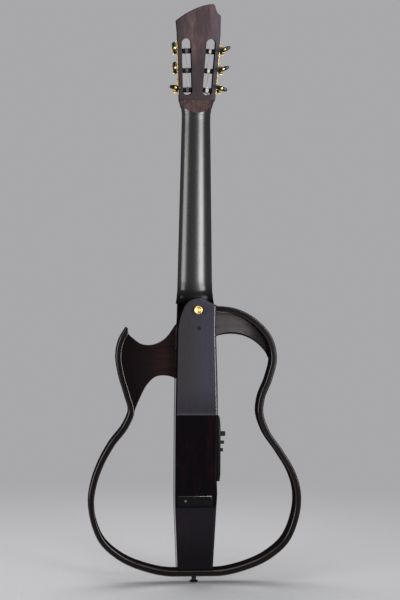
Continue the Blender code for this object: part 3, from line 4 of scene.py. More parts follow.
import bmesh
import bpy
import numpy as np
from mathutils import Matrix, Vector


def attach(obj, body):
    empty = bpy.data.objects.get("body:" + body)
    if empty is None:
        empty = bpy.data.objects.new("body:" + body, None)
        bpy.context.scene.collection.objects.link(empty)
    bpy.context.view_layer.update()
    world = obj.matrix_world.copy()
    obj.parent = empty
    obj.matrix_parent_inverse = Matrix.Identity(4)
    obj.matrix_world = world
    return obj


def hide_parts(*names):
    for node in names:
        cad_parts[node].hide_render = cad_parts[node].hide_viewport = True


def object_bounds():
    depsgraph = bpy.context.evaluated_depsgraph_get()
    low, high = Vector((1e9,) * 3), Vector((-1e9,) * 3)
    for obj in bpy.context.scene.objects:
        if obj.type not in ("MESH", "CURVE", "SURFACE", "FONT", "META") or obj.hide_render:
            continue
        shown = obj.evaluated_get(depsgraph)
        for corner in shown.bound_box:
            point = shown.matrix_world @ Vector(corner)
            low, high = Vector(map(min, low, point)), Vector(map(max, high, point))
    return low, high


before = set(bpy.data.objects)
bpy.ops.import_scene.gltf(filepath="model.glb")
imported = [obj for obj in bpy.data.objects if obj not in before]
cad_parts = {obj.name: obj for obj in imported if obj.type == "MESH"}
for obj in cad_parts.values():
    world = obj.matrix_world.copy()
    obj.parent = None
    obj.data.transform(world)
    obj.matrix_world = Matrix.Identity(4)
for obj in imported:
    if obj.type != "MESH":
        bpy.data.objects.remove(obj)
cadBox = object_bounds()
mm = 0.001  # pieces are described in millimetres, the camera and the lamps in metres
gap = 0.3  # millimetres between two pieces that touch
scene = bpy.context.scene


def linked(name, data):
    obj = bpy.data.objects.new(name, data)
    scene.collection.objects.link(obj)
    return obj


# Camera: level, a little to the treble side of straight behind
cameraSettings = {"place": (0.2487, 2.5186, 0.4908), "azimuth": 5.8, "roll": 0.45, "lens": 85, "sensor": 36}


def makeCamera(settings):
    turn = math.radians(settings["azimuth"])
    ahead = Vector((-math.sin(turn), -math.cos(turn), 0))
    levelRight = ahead.cross(Vector((0, 0, 1)))
    roll = Matrix.Rotation(-math.radians(settings["roll"]), 3, ahead)
    right = roll @ levelRight
    up = right.cross(ahead)
    data = bpy.data.cameras.new("camera")
    data.lens = settings["lens"]
    data.sensor_width = settings["sensor"]
    camera = linked("camera", data)
    aim = Matrix((right, up, -ahead)).transposed().to_4x4()
    camera.matrix_world = Matrix.Translation(settings["place"]) @ aim
    scene.camera = camera


# Finishes by name, filled by newFinish
finishes = {}
specular = "Specular IOR Level"


class Wire:
    # One socket of a material's nodes; sums written with it add their Math nodes.
    def __init__(self, tree, socket=None):
        self.tree = tree
        self.socket = socket

    def node(self, kind, settings=None, sockets=None, output=0):
        made = self.tree.nodes.new("ShaderNode" + kind)
        for name, value in (settings or {}).items():
            setattr(made, name, value)
        for name, value in (sockets or {}).items():
            if isinstance(value, Wire):
                self.tree.links.new(value.socket, made.inputs[name])
            else:
                made.inputs[name].default_value = value
        return Wire(self.tree, made.outputs[output] if len(made.outputs) else None)

    def sum(self, operation, first, second):
        return self.node("Math", {"operation": operation}, {0: first, 1: second})

    def __add__(self, other):
        return self.sum("ADD", self, other)

    def __radd__(self, other):
        return self.sum("ADD", other, self)

    def __sub__(self, other):
        return self.sum("SUBTRACT", self, other)

    def __rsub__(self, other):
        return self.sum("SUBTRACT", other, self)

    def __mul__(self, other):
        return self.sum("MULTIPLY", self, other)

    def __rmul__(self, other):
        return self.sum("MULTIPLY", other, self)


def linear(red, green, blue):
    # A colour from 0 to 255 as a shader takes it
    shades = [((c / 255 + 0.055) / 1.055) ** 2.4 if c > 10 else c / 255 / 12.92 for c in (red, green, blue)]
    return (*shades, 1.0)


def newFinish(name):
    # Adds an empty material and gives a wire with its object coordinates
    finish = finishes[name] = bpy.data.materials.new(name)
    finish.use_nodes = True
    finish.node_tree.nodes.clear()
    return Wire(finish.node_tree).node("TexCoord", output=3)


def noise(at, scale, detail=3.0, stretch=(1, 1, 1), wander=0.0):
    mapping = at.node("Mapping", {}, {"Vector": at, "Scale": stretch})
    return at.node("TexNoise", {}, {"Vector": mapping, "Scale": scale, "Detail": detail, "Roughness": 0.55,
                                    "Distortion": wander})


def between(value, low, high):
    # 0 below low, 1 above high, eased in between
    return value.node("MapRange", {"interpolation_type": "SMOOTHSTEP"},
                      {"Value": value, "From Min": low, "From Max": high})


def within(value, low, high):
    # The same with the limits in millimetres
    return between(value, low * mm, high * mm)


def mixed(mask, first, second):
    return mask.node("Mix", {"data_type": "RGBA"}, {0: mask, 6: first, 7: second}, 2)


def part(at, axis):
    return at.node("SeparateXYZ", {}, {"Vector": at}, "XYZ".index(axis))


def slantFade(at):
    # 1 where the surface is seen from above, 0 where it is seen nearly edge on
    return 1 - between(at.node("LayerWeight", {}, {"Blend": 0.5}, 1), 0.42, 0.78)


def leaning(at, axis):
    # Square of how far the surface faces along an axis
    lean = part(at.node("TexCoord", output=1), axis)
    return lean * lean


def rimGloss(at):
    # Lacquer shines on the rounded rims and stays dull on flat faces and side walls
    turn = leaning(at, "Y")
    shine = between(turn, 0.03, 0.2) * (1 - between(turn, 0.985, 0.998))
    return (0.12 + shine * 0.88) * slantFade(at)


def closeFinish(at, colour, roughness, height, depth, fixed, rim=0.0):
    # Depth is the relief in millimetres; rim is a share of the rims' gloss, or a wire with the whole coat
    bump = at.node("Bump", {}, {"Height": height, "Distance": depth * mm, "Strength": 0.6})
    sockets = {"Base Color": colour, "Roughness": roughness, "Normal": bump, **fixed}
    if rim:
        coat = rim if isinstance(rim, Wire) else rimGloss(at) * rim
        sockets.update({"Coat Weight": coat, "Coat Roughness": 0.16})
    shader = at.node("BsdfPrincipled", {}, sockets)
    at.node("OutputMaterial", {}, {"Surface": shader})


def woodFinish(name, deep, warm, satin=0.40, gloss=0.0, alongName=None, streak=(1, 1, 0.04),
               wallShade=(12, 10, 11), tints=(), edgeShade=None):
    # Translucent stain under satin lacquer: slow clouds, long streaks and fine pores along the grain
    at = newFinish(name)
    deep, wallShade = linear(*deep), linear(*wallShade)
    place = at.node("Attribute", {"attribute_name": alongName}, {}, 1) if alongName else at
    clouds = noise(place, 14, 3, (1, 1, 0.3), 0.6)
    streaks = noise(place, 210, 4, streak, 0.4)
    pores = noise(place, 1400, 2, (streak[0], streak[1], streak[2] * 0.6))
    colour = mixed(between(clouds * 0.55 + streaks * 0.45, 0.40, 0.62), deep, linear(*warm))
    for axis, clear, full, shade, strength in tints:
        low, high = sorted((clear * mm, full * mm))
        reach = between(part(at, axis) + (clouds - 0.5) * (high - low) * 0.6, low, high)
        colour = mixed((reach if full > clear else 1 - reach) * strength, colour, linear(*shade))
    colour = mixed(between(pores, 0.56, 0.70) * 0.5, colour, tuple(c * 0.35 for c in deep[:3]) + (1.0,))
    # Painted shade: faces turned sideways, away from front and back, take the darker wall shade
    colour = mixed(1 - between(leaning(at, "Y"), 0.25, 0.75), colour, wallShade)
    if edgeShade:
        # Painted shade: a dark band of one width, in the wall shade, along a lower edge that runs as a
        # parabola
        off = part(at, "X") - edgeShade["apexX"] * mm
        rise = part(at, "Z") + off * off * edgeShade["curl"] - edgeShade["apexZ"] * mm
        colour = mixed(within(rise, edgeShade["width"] - 0.6, edgeShade["width"] + 0.6), wallShade, colour)
    roughness = satin + (streaks - 0.5) * 0.10 + (pores - 0.5) * 0.06
    closeFinish(at, colour, roughness, streaks * 0.5 + pores * 0.5, 0.03, {specular: gloss}, 1.0)


def coreFinish():
    # Painted reflection: a slate sheen painted over the flat upper plate; red-brown grain showing below the
    # ridge, lacquered dark sides
    at = newFinish("coreWood")
    height, depth, across = part(at, "Z"), part(at, "Y"), part(at, "X")
    streaks = noise(at, 190, 4, (1, 1, 0.05), 0.5)
    clouds = noise(at, 26, 3, (1, 1, 0.35), 0.8)
    pores = noise(at, 1300, 2, (1, 1, 0.03))
    drift = across + (clouds - 0.5) * 30 * mm
    # Painted reflection: the flat upper plate is coloured with a bluish slate sheen, dimmer towards the ridge
    paintedSlateSheen = mixed(within(drift, -14, 22), linear(63, 61, 71), linear(57, 54, 57))
    paintedSlateSheen = mixed(within(height, 290, 345), linear(47, 46, 52), paintedSlateSheen)
    plate = mixed(between(streaks, 0.30, 0.75) * 0.5, paintedSlateSheen, linear(56, 54, 60))
    patches = between(clouds * 0.8 + streaks * 0.2, 0.47, 0.66)
    lower = mixed(patches, linear(15, 12, 15), linear(32, 17, 19))
    # The tail's grey is partly painted reflection, like the plate's sheen, over red patches of stain; it
    # turns darker towards the bottom
    tail = mixed(patches * within(across, -6, 22), linear(29, 27, 31), linear(42, 29, 32))
    tail = mixed(within(height, 20, 95), linear(22, 19, 22), tail)
    upper = within(height, 286.5, 289.0)
    # Painted highlight: a light line along the ridge
    lip = within(height, 286.5, 288.0) * (1 - within(height, 289.5, 291.5))
    belowTray = 1 - within(height, 121, 123)
    colour = mixed(upper, mixed(belowTray, lower, tail), plate)
    colour = mixed(lip * 0.6, colour, linear(74, 71, 75))
    # The painted sheen stays on the flat rear face; its rounded rims and the sides above the ridge are near
    # black
    flat = within(depth, 28.0, 29.6)
    colour = mixed((1 - flat) * upper, colour, linear(10, 8, 9))
    colour = mixed(between(pores, 0.58, 0.70) * 0.4, colour, linear(12, 10, 11))
    heel = within(height, 436, 446) * (1 - within(depth, 20, 24))
    bass = 0 - part(at.node("TexCoord", output=1), "X")
    rims = between(bass, 0.02, 0.07) * (1 - between(bass, 0.80, 0.97)) * (0.3 + upper * 0.7) * slantFade(at)
    sides = (1 - between(bass, -0.97, -0.85)) * within(depth, -17, -9) * (1 - within(depth, 9, 17))
    roughness = 0.24 + flat * 0.16 + heel * 0.4 + (streaks - 0.5) * 0.08 + (pores - 0.5) * 0.05
    closeFinish(at, colour, roughness, streaks * 0.5 + pores * 0.5, 0.04, {specular: 0.0},
                rims + sides * (1 - heel))


def neckFinish():
    # Nearly black satin lacquer; the head's brown finish comes down in an arc at the top
    at = newFinish("neckWood")
    height = part(at, "Z")
    across = part(at, "X")
    streaks = noise(at, 240, 4, (1, 1, 0.03), 0.4)
    pores = noise(at, 1500, 2, (1, 1, 0.02))
    dark = mixed(between(streaks, 0.42, 0.66), linear(5, 4, 4), linear(15, 10, 10))
    brown = mixed(between(streaks, 0.35, 0.68), linear(70, 56, 57), linear(94, 75, 74))
    edge = height - (826.7 * mm + across * across * 17.8)
    matt = within(edge, -0.8, 0.5)
    colour = mixed(within(edge, -0.5, 0.5), dark, brown)
    roughness = 0.34 + (streaks - 0.5) * 0.06 + (pores - 0.5) * 0.04
    coat = (1 - matt) * slantFade(at) * within(height, 482, 532)
    closeFinish(at, colour, roughness, streaks * 0.4 + pores * 0.6, 0.03,
                {specular: 0.0, "Coat Weight": coat, "Coat Roughness": 0.24, "Coat IOR": 1.66})


def metalFinish(name, shade, worn, roughness):
    at = newFinish(name)
    clouds = noise(at, 160, 3)
    scratches = noise(at, 2600, 2)
    colour = mixed(between(clouds, 0.35, 0.70), shade, worn)
    rough = roughness + (clouds - 0.5) * 0.16 + (scratches - 0.5) * 0.08
    closeFinish(at, colour, rough, scratches, 0.02, {"Metallic": 1.0})


def plasticFinish(name, shade, worn, roughness, grain, depth, fixed, rim=0.0):
    at = newFinish(name)
    clouds = noise(at, 70, 3)
    pebbles = noise(at, grain, 2)
    colour = mixed(between(clouds, 0.40, 0.72), linear(*shade), linear(*worn))
    rough = roughness + (clouds - 0.5) * 0.10 + (pebbles - 0.5) * 0.08
    closeFinish(at, colour, rough, pebbles, depth, fixed, rim)


def woundFinish():
    # Fine silver winding with a ridge about every quarter millimetre along the string
    at = newFinish("woundString")
    wraps = at.node("TexWave", {"bands_direction": "Z"}, {"Vector": at, "Scale": 1200.0})
    clouds = noise(at, 300, 2)
    colour = mixed(clouds * 0.6 + wraps * 0.3, linear(196, 194, 190), linear(240, 238, 232))
    closeFinish(at, colour, 0.42 + (clouds - 0.5) * 0.12, wraps, 0.02, {"Metallic": 0.35})


def boardFinish():
    # Solder mask with copper tracks under it
    at = newFinish("circuitBoard")
    tracks = at.node("TexVoronoi", {"feature": "DISTANCE_TO_EDGE", "distance": "CHEBYCHEV"},
                     {"Vector": at, "Scale": 320.0})
    mask = 1 - between(tracks, 0.03, 0.07)
    colour = mixed(mask, linear(18, 74, 42), linear(52, 122, 74))
    closeFinish(at, colour, 0.32 + mask * 0.08, mask, 0.03, {"Coat Weight": 0.3})


# Colours from 0 to 255; a tint runs along an axis from its clear to its full place
woods = {
    "frameWood": {"deep": (14, 12, 12), "warm": (32, 24, 24), "satin": 0.34, "alongName": "alongPiece",
                  "wallShade": (20, 17, 18)},
    "wingWood": {"deep": (30, 20, 20), "warm": (44, 29, 29), "streak": (0.06, 1, 1),
                 "tints": [("X", 44, 92, (18, 13, 14), 0.85)]},
    # The bass wing: the wing wood painted lighter as a painted reflection, with a painted shade band along
    # its lower edge
    "litBassWingWood": {"deep": (80, 76, 77), "warm": (96, 90, 90), "streak": (0.06, 1, 1),
                     "tints": [("X", -80, -114, (20, 18, 19), 0.95)],
                     "edgeShade": {"apexX": -66, "apexZ": 430.6, "curl": 7.7, "width": 3.2}},
    "headWood": {"deep": (62, 47, 49), "warm": (100, 76, 75), "wallShade": (16, 12, 14),
                 "tints": [("Z", 945, 905, (42, 34, 37), 0.85), ("X", 14, 38, (46, 38, 41), 0.8),
                           ("X", -17, -34, (76, 72, 84), 0.7)]},
    "ebony": {"deep": (14, 12, 12), "warm": (28, 22, 21), "satin": 0.42, "gloss": 0.15},
}
# name: linear colour, worn colour, roughness
metals = {
    "gold": ((0.83, 0.58, 0.20, 1), (0.74, 0.49, 0.16, 1), 0.24),
    "brass": ((0.72, 0.54, 0.24, 1), (0.55, 0.39, 0.16, 1), 0.34),
    "nickel": ((0.66, 0.65, 0.63, 1), (0.52, 0.51, 0.49, 1), 0.24),
    "darkNickel": ((0.22, 0.22, 0.23, 1), (0.14, 0.14, 0.15, 1), 0.26),
}
# name: colour, worn colour, roughness, grain, its depth, fixed values, rim gloss
plastics = {
    "bone": ((226, 218, 196), (206, 194, 166), 0.38, 900, 0.03, {specular: 0.45}),
    "blackPlastic": ((14, 14, 15), (20, 19, 20), 0.40, 1700, 0.05, {specular: 0.05}, 0.25),
    "glossBlack": ((8, 8, 9), (14, 13, 14), 0.16, 900, 0.01, {specular: 0.1}, 0.4),
    # Painted reflection: the black neck bolt takes the grey-violet of the plate's painted sheen
    "boltPaintedSheen": ((50, 49, 55), (42, 41, 46), 0.50, 1700, 0.03, {specular: 0.0}),
    "softBlack": ((20, 20, 20), (34, 33, 32), 0.58, 2400, 0.06, {specular: 0.25}),
    "batteryCase": ((66, 67, 70), (90, 90, 92), 0.34, 500, 0.02, {"Metallic": 0.6}),
    "nylon": ((170, 170, 166), (150, 150, 146), 0.18, 600, 0.01, {specular: 0.6, "Alpha": 0.24}),
}
for name, settings in woods.items():
    woodFinish(name, **settings)
for name, values in metals.items():
    metalFinish(name, *values)
for name, values in plastics.items():
    plasticFinish(name, *values)
coreFinish()
neckFinish()
woundFinish()
boardFinish()
print("finishes made")

# Shapes


def vertsOf(geom):
    return [item for item in geom if isinstance(item, bmesh.types.BMVert)]


def moved(x, y, z):
    return Matrix.Translation((x * mm, y * mm, z * mm))


def turned(degrees, axis):
    return Matrix.Rotation(math.radians(degrees), 4, axis)


def placed(bm, matrix):
    bmesh.ops.transform(bm, matrix=matrix, verts=bm.verts)
    return bm


def lathe(profile, steps):
    # Profile of (place along Z, radius) whose ends lie on the axis
    bm = bmesh.new()
    verts = [bm.verts.new((radius * mm, 0, place * mm)) for place, radius in profile]
    edges = [bm.edges.new(pair) for pair in zip(verts, verts[1:])]
    bmesh.ops.spin(bm, geom=verts + edges, cent=(0, 0, 0), axis=(0, 0, 1), angle=2 * math.pi, steps=steps,
                   use_merge=True)
    bmesh.ops.remove_doubles(bm, verts=bm.verts, dist=1e-7)
    return bm


def carried(section, stations):
    # A closed section extruded through the stations; each vertex remembers its place along the piece
    bm = bmesh.new()
    along = bm.verts.layers.float_vector.new("alongPiece")
    verts = [bm.verts.new(stations[0] @ Vector((x, y, 0))) for x, y in section]
    for vert, (x, y) in zip(verts, section):
        vert[along] = (x, y, 0)
    edges = [bm.edges.new((vert, verts[(i + 1) % len(verts)])) for i, vert in enumerate(verts)]
    bmesh.ops.contextual_create(bm, geom=edges)
    travelled = 0.0
    for before, station in zip(stations, stations[1:]):
        travelled += (station.translation - before.translation).length
        grown = bmesh.ops.extrude_edge_only(bm, edges=edges)["geom"]
        verts = vertsOf(grown)
        fresh = set(verts)
        edges = [item for item in grown
                 if isinstance(item, bmesh.types.BMEdge) and fresh.issuperset(item.verts)]
        bmesh.ops.transform(bm, matrix=station @ before.inverted(), verts=verts)
        for vert in verts:
            vert[along] = (vert[along][0], vert[along][1], travelled)
    bmesh.ops.contextual_create(bm, geom=edges)
    return bm


def extruded(corners, way):
    # A flat face through the corners, extruded along a way given in metres
    bm = bmesh.new()
    face = bm.faces.new([bm.verts.new([c * mm for c in corner]) for corner in corners])
    grown = bmesh.ops.extrude_face_region(bm, geom=[face])["geom"]
    bmesh.ops.translate(bm, vec=way, verts=vertsOf(grown))
    bmesh.ops.recalc_face_normals(bm, faces=bm.faces)
    return bm


def plank(outline, front, back, rim=0.0, rimSteps=3, sharpest=40):
    # An outline seen from behind, extruded in depth, its rims rounded
    bm = extruded([(x, front, z) for x, z in outline], (0, back * mm - front * mm, 0))
    if rim:
        roundEdges(bm, rim, rimSteps, sharpest)
    return bm


def bar(profile, low, high):
    # A profile of (depth, height), extruded across from low to high
    return extruded([(low, y, z) for y, z in profile], ((high - low) * mm, 0, 0))


def roundEdges(bm, rim, rimSteps, sharpest, chosen=None):
    limit = math.radians(sharpest)
    edges = [edge for edge in bm.edges if edge.is_manifold and edge.calc_face_angle() > limit
             and (chosen is None or chosen(edge))]
    bmesh.ops.bevel(bm, geom=edges, offset=rim * mm, offset_type="OFFSET", segments=rimSteps,
                    profile=0.5, affect="EDGES", material=-1, clamp_overlap=True)


def carve(bm, cutters, operation="DIFFERENCE"):
    # Boolean of closed shapes; takes the bmeshes and gives a new one
    base = temporary(bm)
    for cutter in cutters:
        tool = temporary(cutter)
        modifier = base.modifiers.new("carve", "BOOLEAN")
        modifier.operation = operation
        modifier.solver = "EXACT"
        modifier.object = tool
        carved = base.evaluated_get(bpy.context.evaluated_depsgraph_get())
        mesh = bpy.data.meshes.new_from_object(carved)
        base.modifiers.clear()
        base.data = mesh
        bpy.data.objects.remove(tool)
    made = bmesh.new()
    made.from_mesh(base.data)
    bpy.data.objects.remove(base)
    bmesh.ops.remove_doubles(made, verts=made.verts, dist=1e-6)
    bmesh.ops.dissolve_limit(made, angle_limit=math.radians(0.5), verts=made.verts, edges=made.edges)
    return made


def meshOf(bm, name="temporary"):
    mesh = bpy.data.meshes.new(name)
    bm.to_mesh(mesh)
    bm.free()
    return mesh


def temporary(bm):
    bmesh.ops.recalc_face_normals(bm, faces=bm.faces)
    return linked("temporary", meshOf(bm))


def copied(node):
    # A CAD node's loose triangles, merged into faces that can be rounded
    bm = bmesh.new()
    bm.from_mesh(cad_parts[node].data)
    bmesh.ops.remove_doubles(bm, verts=bm.verts, dist=2e-6)
    bmesh.ops.dissolve_limit(bm, angle_limit=math.radians(0.8), verts=bm.verts, edges=bm.edges)
    return bm


def finishPiece(name, bm, finish, replaced=(), place=None, sharpest=35, weighted=False, body="guitar"):
    if place is not None:
        placed(bm, place)
    bmesh.ops.recalc_face_normals(bm, faces=bm.faces)
    mesh = meshOf(bm, name)
    mesh.materials.append(finishes[finish])
    mesh.shade_smooth()
    mesh.set_sharp_from_angle(angle=math.radians(sharpest))
    obj = linked(name, mesh)
    if weighted:
        obj.modifiers.new("evenShading", "WEIGHTED_NORMAL").keep_sharp = True
    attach(obj, body)
    if replaced:
        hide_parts(*replaced)
    return obj


def joined(parts):
    # Several bmeshes in one
    whole = bmesh.new()
    for bm in parts:
        mesh = meshOf(bm)
        whole.from_mesh(mesh)
        bpy.data.meshes.remove(mesh)
    return whole


def bezierRun(*corners, steps):
    points = []
    for i in range(steps + 1):
        t = i / steps
        weights = ((1 - t) ** 3, 3 * t * (1 - t) ** 2, 3 * t * t * (1 - t), t ** 3)
        points.append(tuple(sum(w * corner[k] for w, corner in zip(weights, corners)) for k in (0, 1)))
    return points


def smoothRun(points, count):
    # Even points along a smooth curve through all but the first and last point, which only steer it
    knots = np.array(points)
    chords = np.linalg.norm(np.diff(knots, axis=0), axis=1)
    slopes = np.diff(knots, axis=0) / chords[:, None]
    fine = []
    for i in range(1, len(knots) - 2):
        before, span, after = chords[i - 1], chords[i], chords[i + 1]
        leave = (slopes[i - 1] * span + slopes[i] * before) / (span + before) * span
        arrive = (slopes[i] * after + slopes[i + 1] * span) / (after + span) * span
        for t in np.linspace(0, 1, 40, endpoint=False):
            fine.append(knots[i] * (2 * t ** 3 - 3 * t * t + 1) + leave * (t ** 3 - 2 * t * t + t)
                        + knots[i + 1] * (3 * t * t - 2 * t ** 3) + arrive * (t ** 3 - t * t))
    fine = np.array(fine + [knots[-2]])
    travel = np.concatenate([[0], np.cumsum(np.linalg.norm(np.diff(fine, axis=0), axis=1))])
    even = np.linspace(0, travel[-1], count)
    return [tuple(float(np.interp(s, travel, fine[:, k])) for k in (0, 1)) for s in even]


# Bent frames and wings
routes = {
    1: [(117.9, 454), (124.9, 442), (137.5, 420), (142.9, 392), (138.6, 360), (126.3, 318), (119.9, 293),
        (128.3, 271), (152.7, 238), (172.9, 201), (185.2, 165), (189.8, 134), (184.6, 96), (168, 59),
        (135.5, 30), (87.5, 9), (40, 0), (-5, 4)],
    -1: [(-6.8, 482), (-34.2, 481), (-71.9, 475.8), (-109.9, 455.2), (-136.9, 422.8), (-144.5, 387),
         (-136.2, 349.4), (-122.9, 314), (-120.6, 293), (-129.8, 262.7), (-156.4, 223.2), (-178.5, 186.5),
         (-188.6, 155), (-190.35, 134), (-184.5, 96), (-168, 59), (-135.5, 30), (-87.5, 9), (-40, 0), (5, 4)],
}
strip = {"thick": 10.5, "front": -22, "back": 18, "edge": 2.2, "hornThick": 3, "hornTaper": 10,
         "stations": 190}


def routeStations(side):
    run = smoothRun(routes[side], strip["stations"]) + [(side * gap / 2, 0.0)]
    way = np.gradient(np.array(run), axis=0)
    way /= np.linalg.norm(way, axis=1)[:, None]
    inward = [(side * float(dz), -side * float(dx)) for dx, dz in way]
    inward[-1] = inward[-2] = (0.0, 1.0)
    if side < 0:
        inward[0] = (0.0, -1.0)
    travelled = 0.0
    stations = []
    for i, (x, z) in enumerate(run):
        travelled += math.dist(run[i - 1], run[i]) if i else 0.0
        thick = strip["thick"]
        if side > 0:
            grown = travelled / strip["hornTaper"]
            thick = min(thick, strip["hornThick"] + (thick - strip["hornThick"]) * grown)
        stations.append(((x, z), inward[i], thick))
    return stations


def stripSection(settings):
    # Across runs from the outer face (0) to the inner (1); the long edges are rounded
    thick, front, back, edge = (settings[k] for k in ("thick", "front", "back", "edge"))
    points = []
    for cornerX, cornerY, start in ((thick - edge, back - edge, 0), (edge, back - edge, 90),
                                    (edge, front + edge, 180), (thick - edge, front + edge, 270)):
        for step in range(5):
            angle = math.radians(start + 22.5 * step)
            across, deep = cornerX + edge * math.cos(angle), cornerY + edge * math.sin(angle)
            points.append((across / thick, deep * mm))
    return points


def makeStrips():
    for side, node in ((1, "treble_frame"), (-1, "bass_frame")):
        stations = []
        for (x, z), (nx, nz), thick in routeStations(side):
            across = Vector((nx, 0, nz))
            deep = Vector((0, 1, 0))
            forward = across.cross(deep)
            turn = Matrix((across * thick * mm, deep, forward)).transposed().to_4x4()
            stations.append(moved(x, 0, z) @ turn)
        bm = carried(stripSection(strip), stations)
        name = "trebleStrip" if side > 0 else "bassStrip"
        finishPiece(name, bm, "frameWood", (node,), sharpest=40, weighted=True)


def innerEdge(side, clear, low, high):
    points = [(x + nx * (thick + clear), z + nz * (thick + clear))
              for (x, z), (nx, nz), thick in routeStations(side)]
    return [point for point in points if low < point[1] < high]


wing = {"front": -20, "back": -7, "rim": 2.0}
# height: half width on the treble and on the bass side of the core block
coreSides = {10.8: (30.6, 32.4), 120.8: (35.6, 38.1), 146.2: (36.0, 39.6), 168: (36.0, 38.4),
             288: (36.2, 38.0), 345: (35.4, 36.8), 439.54: (35.0, 33.3)}


def halfWidth(z, side):
    return float(np.interp(z, list(coreSides), [pair[side < 0] for pair in coreSides.values()]))


def makeWings():
    edge = innerEdge(1, gap, 274, 436)
    hollow = [(27, 460), (halfWidth(440, 1) + gap, 446.5), (41.0, 437.5), (52.3, 422.6), (64, 414.4),
              (83.5, 409.4), (97.2, 411.8), (109.6, 420.2), edge[0], (122, 443)]
    cutaway = smoothRun(hollow, 44)
    low = 349.54
    foot = (halfWidth(low, 1) + gap, low)
    end = (edge[-1][0] - 0.6, edge[-1][1])
    arch = [(foot[0] + dx, foot[1] + dz) for dx, dz in ((63, -35), (49, -9), (35, 3.5), (19, 5.8))]
    lower = smoothRun([(end[0] + 8, end[1] - 25), end] + arch + [foot, (foot[0] - 7, foot[1] - 9)], 40)
    for side, outline, finish in (("treble", cutaway[:-1] + edge + lower, "wingWood"),
                                  ("bass", bassWingOutline(), "litBassWingWood")):
        bm = plank(outline, wing["front"], wing["back"], wing["rim"], 4)
        finishPiece(side + "Wing", bm, finish, (side + "_wing",), sharpest=50, weighted=True)


def bassWingOutline():
    edge = innerEdge(-1, gap, 386, 483.54)
    low = 424.5
    foot = (-(halfWidth(low, -1) + gap), low)
    end = (edge[-1][0] + 0.8, edge[-1][1])
    arch = [(-115.5, 411.5), (-90, 426.3), (-64, 430.4)]
    under = smoothRun([(end[0], end[1] - 20), end] + arch + [foot, (foot[0] + 17, foot[1] - 12)], 40)
    return edge + under


# Core block: the arched plate, the ridge, the recess for the battery drawer and the tail
core = {"front": -26, "rim": 2.4, "backRim": 3.6, "full": 439.54,
        "heights": [10.8, 120.8, 146.2, 288, 500], "backs": [16, 16, 15, 30, 30],
        "boltHead": 3.5, "boltMiddle": 36.7,
        "treble": [(-12, 492.5), (-0.9, 494.5), (10.6, 491.7), (20.4, 483.8), (25.9, 474), (30.3, 461),
                   (34.6, 439.54), (35, 420)],
        "shoulder": [(14, 483.2), (30.3, 483.2), (30.6, 467.5), (32.2, 452.5), (34.6, 439.5), (28, 431.5),
                     (14, 431.5)],
        "bass": [(9, 492), (-0.9, 494.5), (-12.3, 491.3), (-23, 486.8), (-33.8, 481.8), (-38, 479.5)]}


def coreOutline():
    levels = [z for z in reversed(coreSides) if z < core["full"]]
    right = smoothRun(core["treble"], 34) + [(halfWidth(z, 1), z) for z in levels]
    left = smoothRun(core["bass"], 14)[1:] + [(-halfWidth(z, -1), z) for z in [core["full"]] + levels]
    return right + left[::-1]


def box(low, high):
    bm = bmesh.new()
    bmesh.ops.create_cube(bm, size=1)
    middle = [(a * mm + b * mm) / 2 for a, b in zip(low, high)]
    size = [b * mm - a * mm for a, b in zip(low, high)]
    return placed(bm, Matrix.Translation(middle) @ Matrix.Diagonal((*size, 1)))


def makeCore():
    front, back = core["front"], core["backs"][-1]
    bm = plank(coreOutline(), front, back)
    for height in core["heights"][1:-1]:
        bmesh.ops.bisect_plane(bm, geom=bm.verts[:] + bm.edges[:] + bm.faces[:], dist=1e-6,
                               plane_co=(0, 0, height * mm), plane_no=(0, 0, 1))
    for vert in bm.verts:
        if vert.co.y > 0:
            vert.co.y = float(np.interp(vert.co.z / mm, core["heights"], core["backs"])) * mm
    roundEdges(bm, core["backRim"], 7, 60, lambda edge: all(vert.co.y > 0 for vert in edge.verts))
    roundEdges(bm, core["rim"], 3, 60, lambda edge: all(vert.co.y < front / 2 * mm for vert in edge.verts))
    bm = carve(bm, [plank(core["shoulder"], front, -8.5, 3.0, 4, 60)], "UNION")
    bolt = lathe([(-10, 0), (-10, core["boltHead"]), (10, core["boltHead"]), (10, 0)], 32)
    bay = box((-60, 13, 122.3), (60, 31, 144.7))
    drawerWell = box((-32.1, -20.6, 122.2), (32.1, 31, 144.8))
    neckSeat = box((-60, -31, 483.24), (60, -8.2, 500))
    boltPlace = moved(fittings["boltX"], core["boltMiddle"], fittings["boltZ"]) @ turned(90, "X")
    bm = carve(bm, [bay, drawerWell, neckSeat, placed(bolt, boltPlace)])
    finishPiece("coreBody", bm, "coreWood", ("core_block",), sharpest=4, weighted=True)


# Neck: height, width beyond the board's, depth, and squareness of the section
neckTable = [(483.54, 5.2, 21.0, 4.5), (495.5, 2.6, 20.2, 3.2), (509.5, 0.6, 18.0, 2.4),
             (527.5, 0, 16.9, 2.1), (813, 0, 15.5, 2.1), (825, 1, 15.8, 2.1), (833, 3.2, 16.4, 2.3),
             (841, 8.6, 17.9, 2.6), (846, 11.8, 19.65, 3.0), (848.7, 14.2, 20.45, 3.4)]
# low, high and count of the stations between
neckRuns = [(483.54, 530, 16), (530, 815, 20), (815, 848.7, 24)]
neck = {"front": -26, "widest": -24, "straightRow": 3}


def eased(z, column):
    heights = [row[0] for row in neckTable]
    i = max(k for k in range(len(heights) - 1) if k == 0 or z >= heights[k])
    t = max(0.0, min(1.0, (z - heights[i]) / (heights[i + 1] - heights[i])))
    t = t * t * (3 - 2 * t) if i != neck["straightRow"] else t
    return neckTable[i][column] + (neckTable[i + 1][column] - neckTable[i][column]) * t


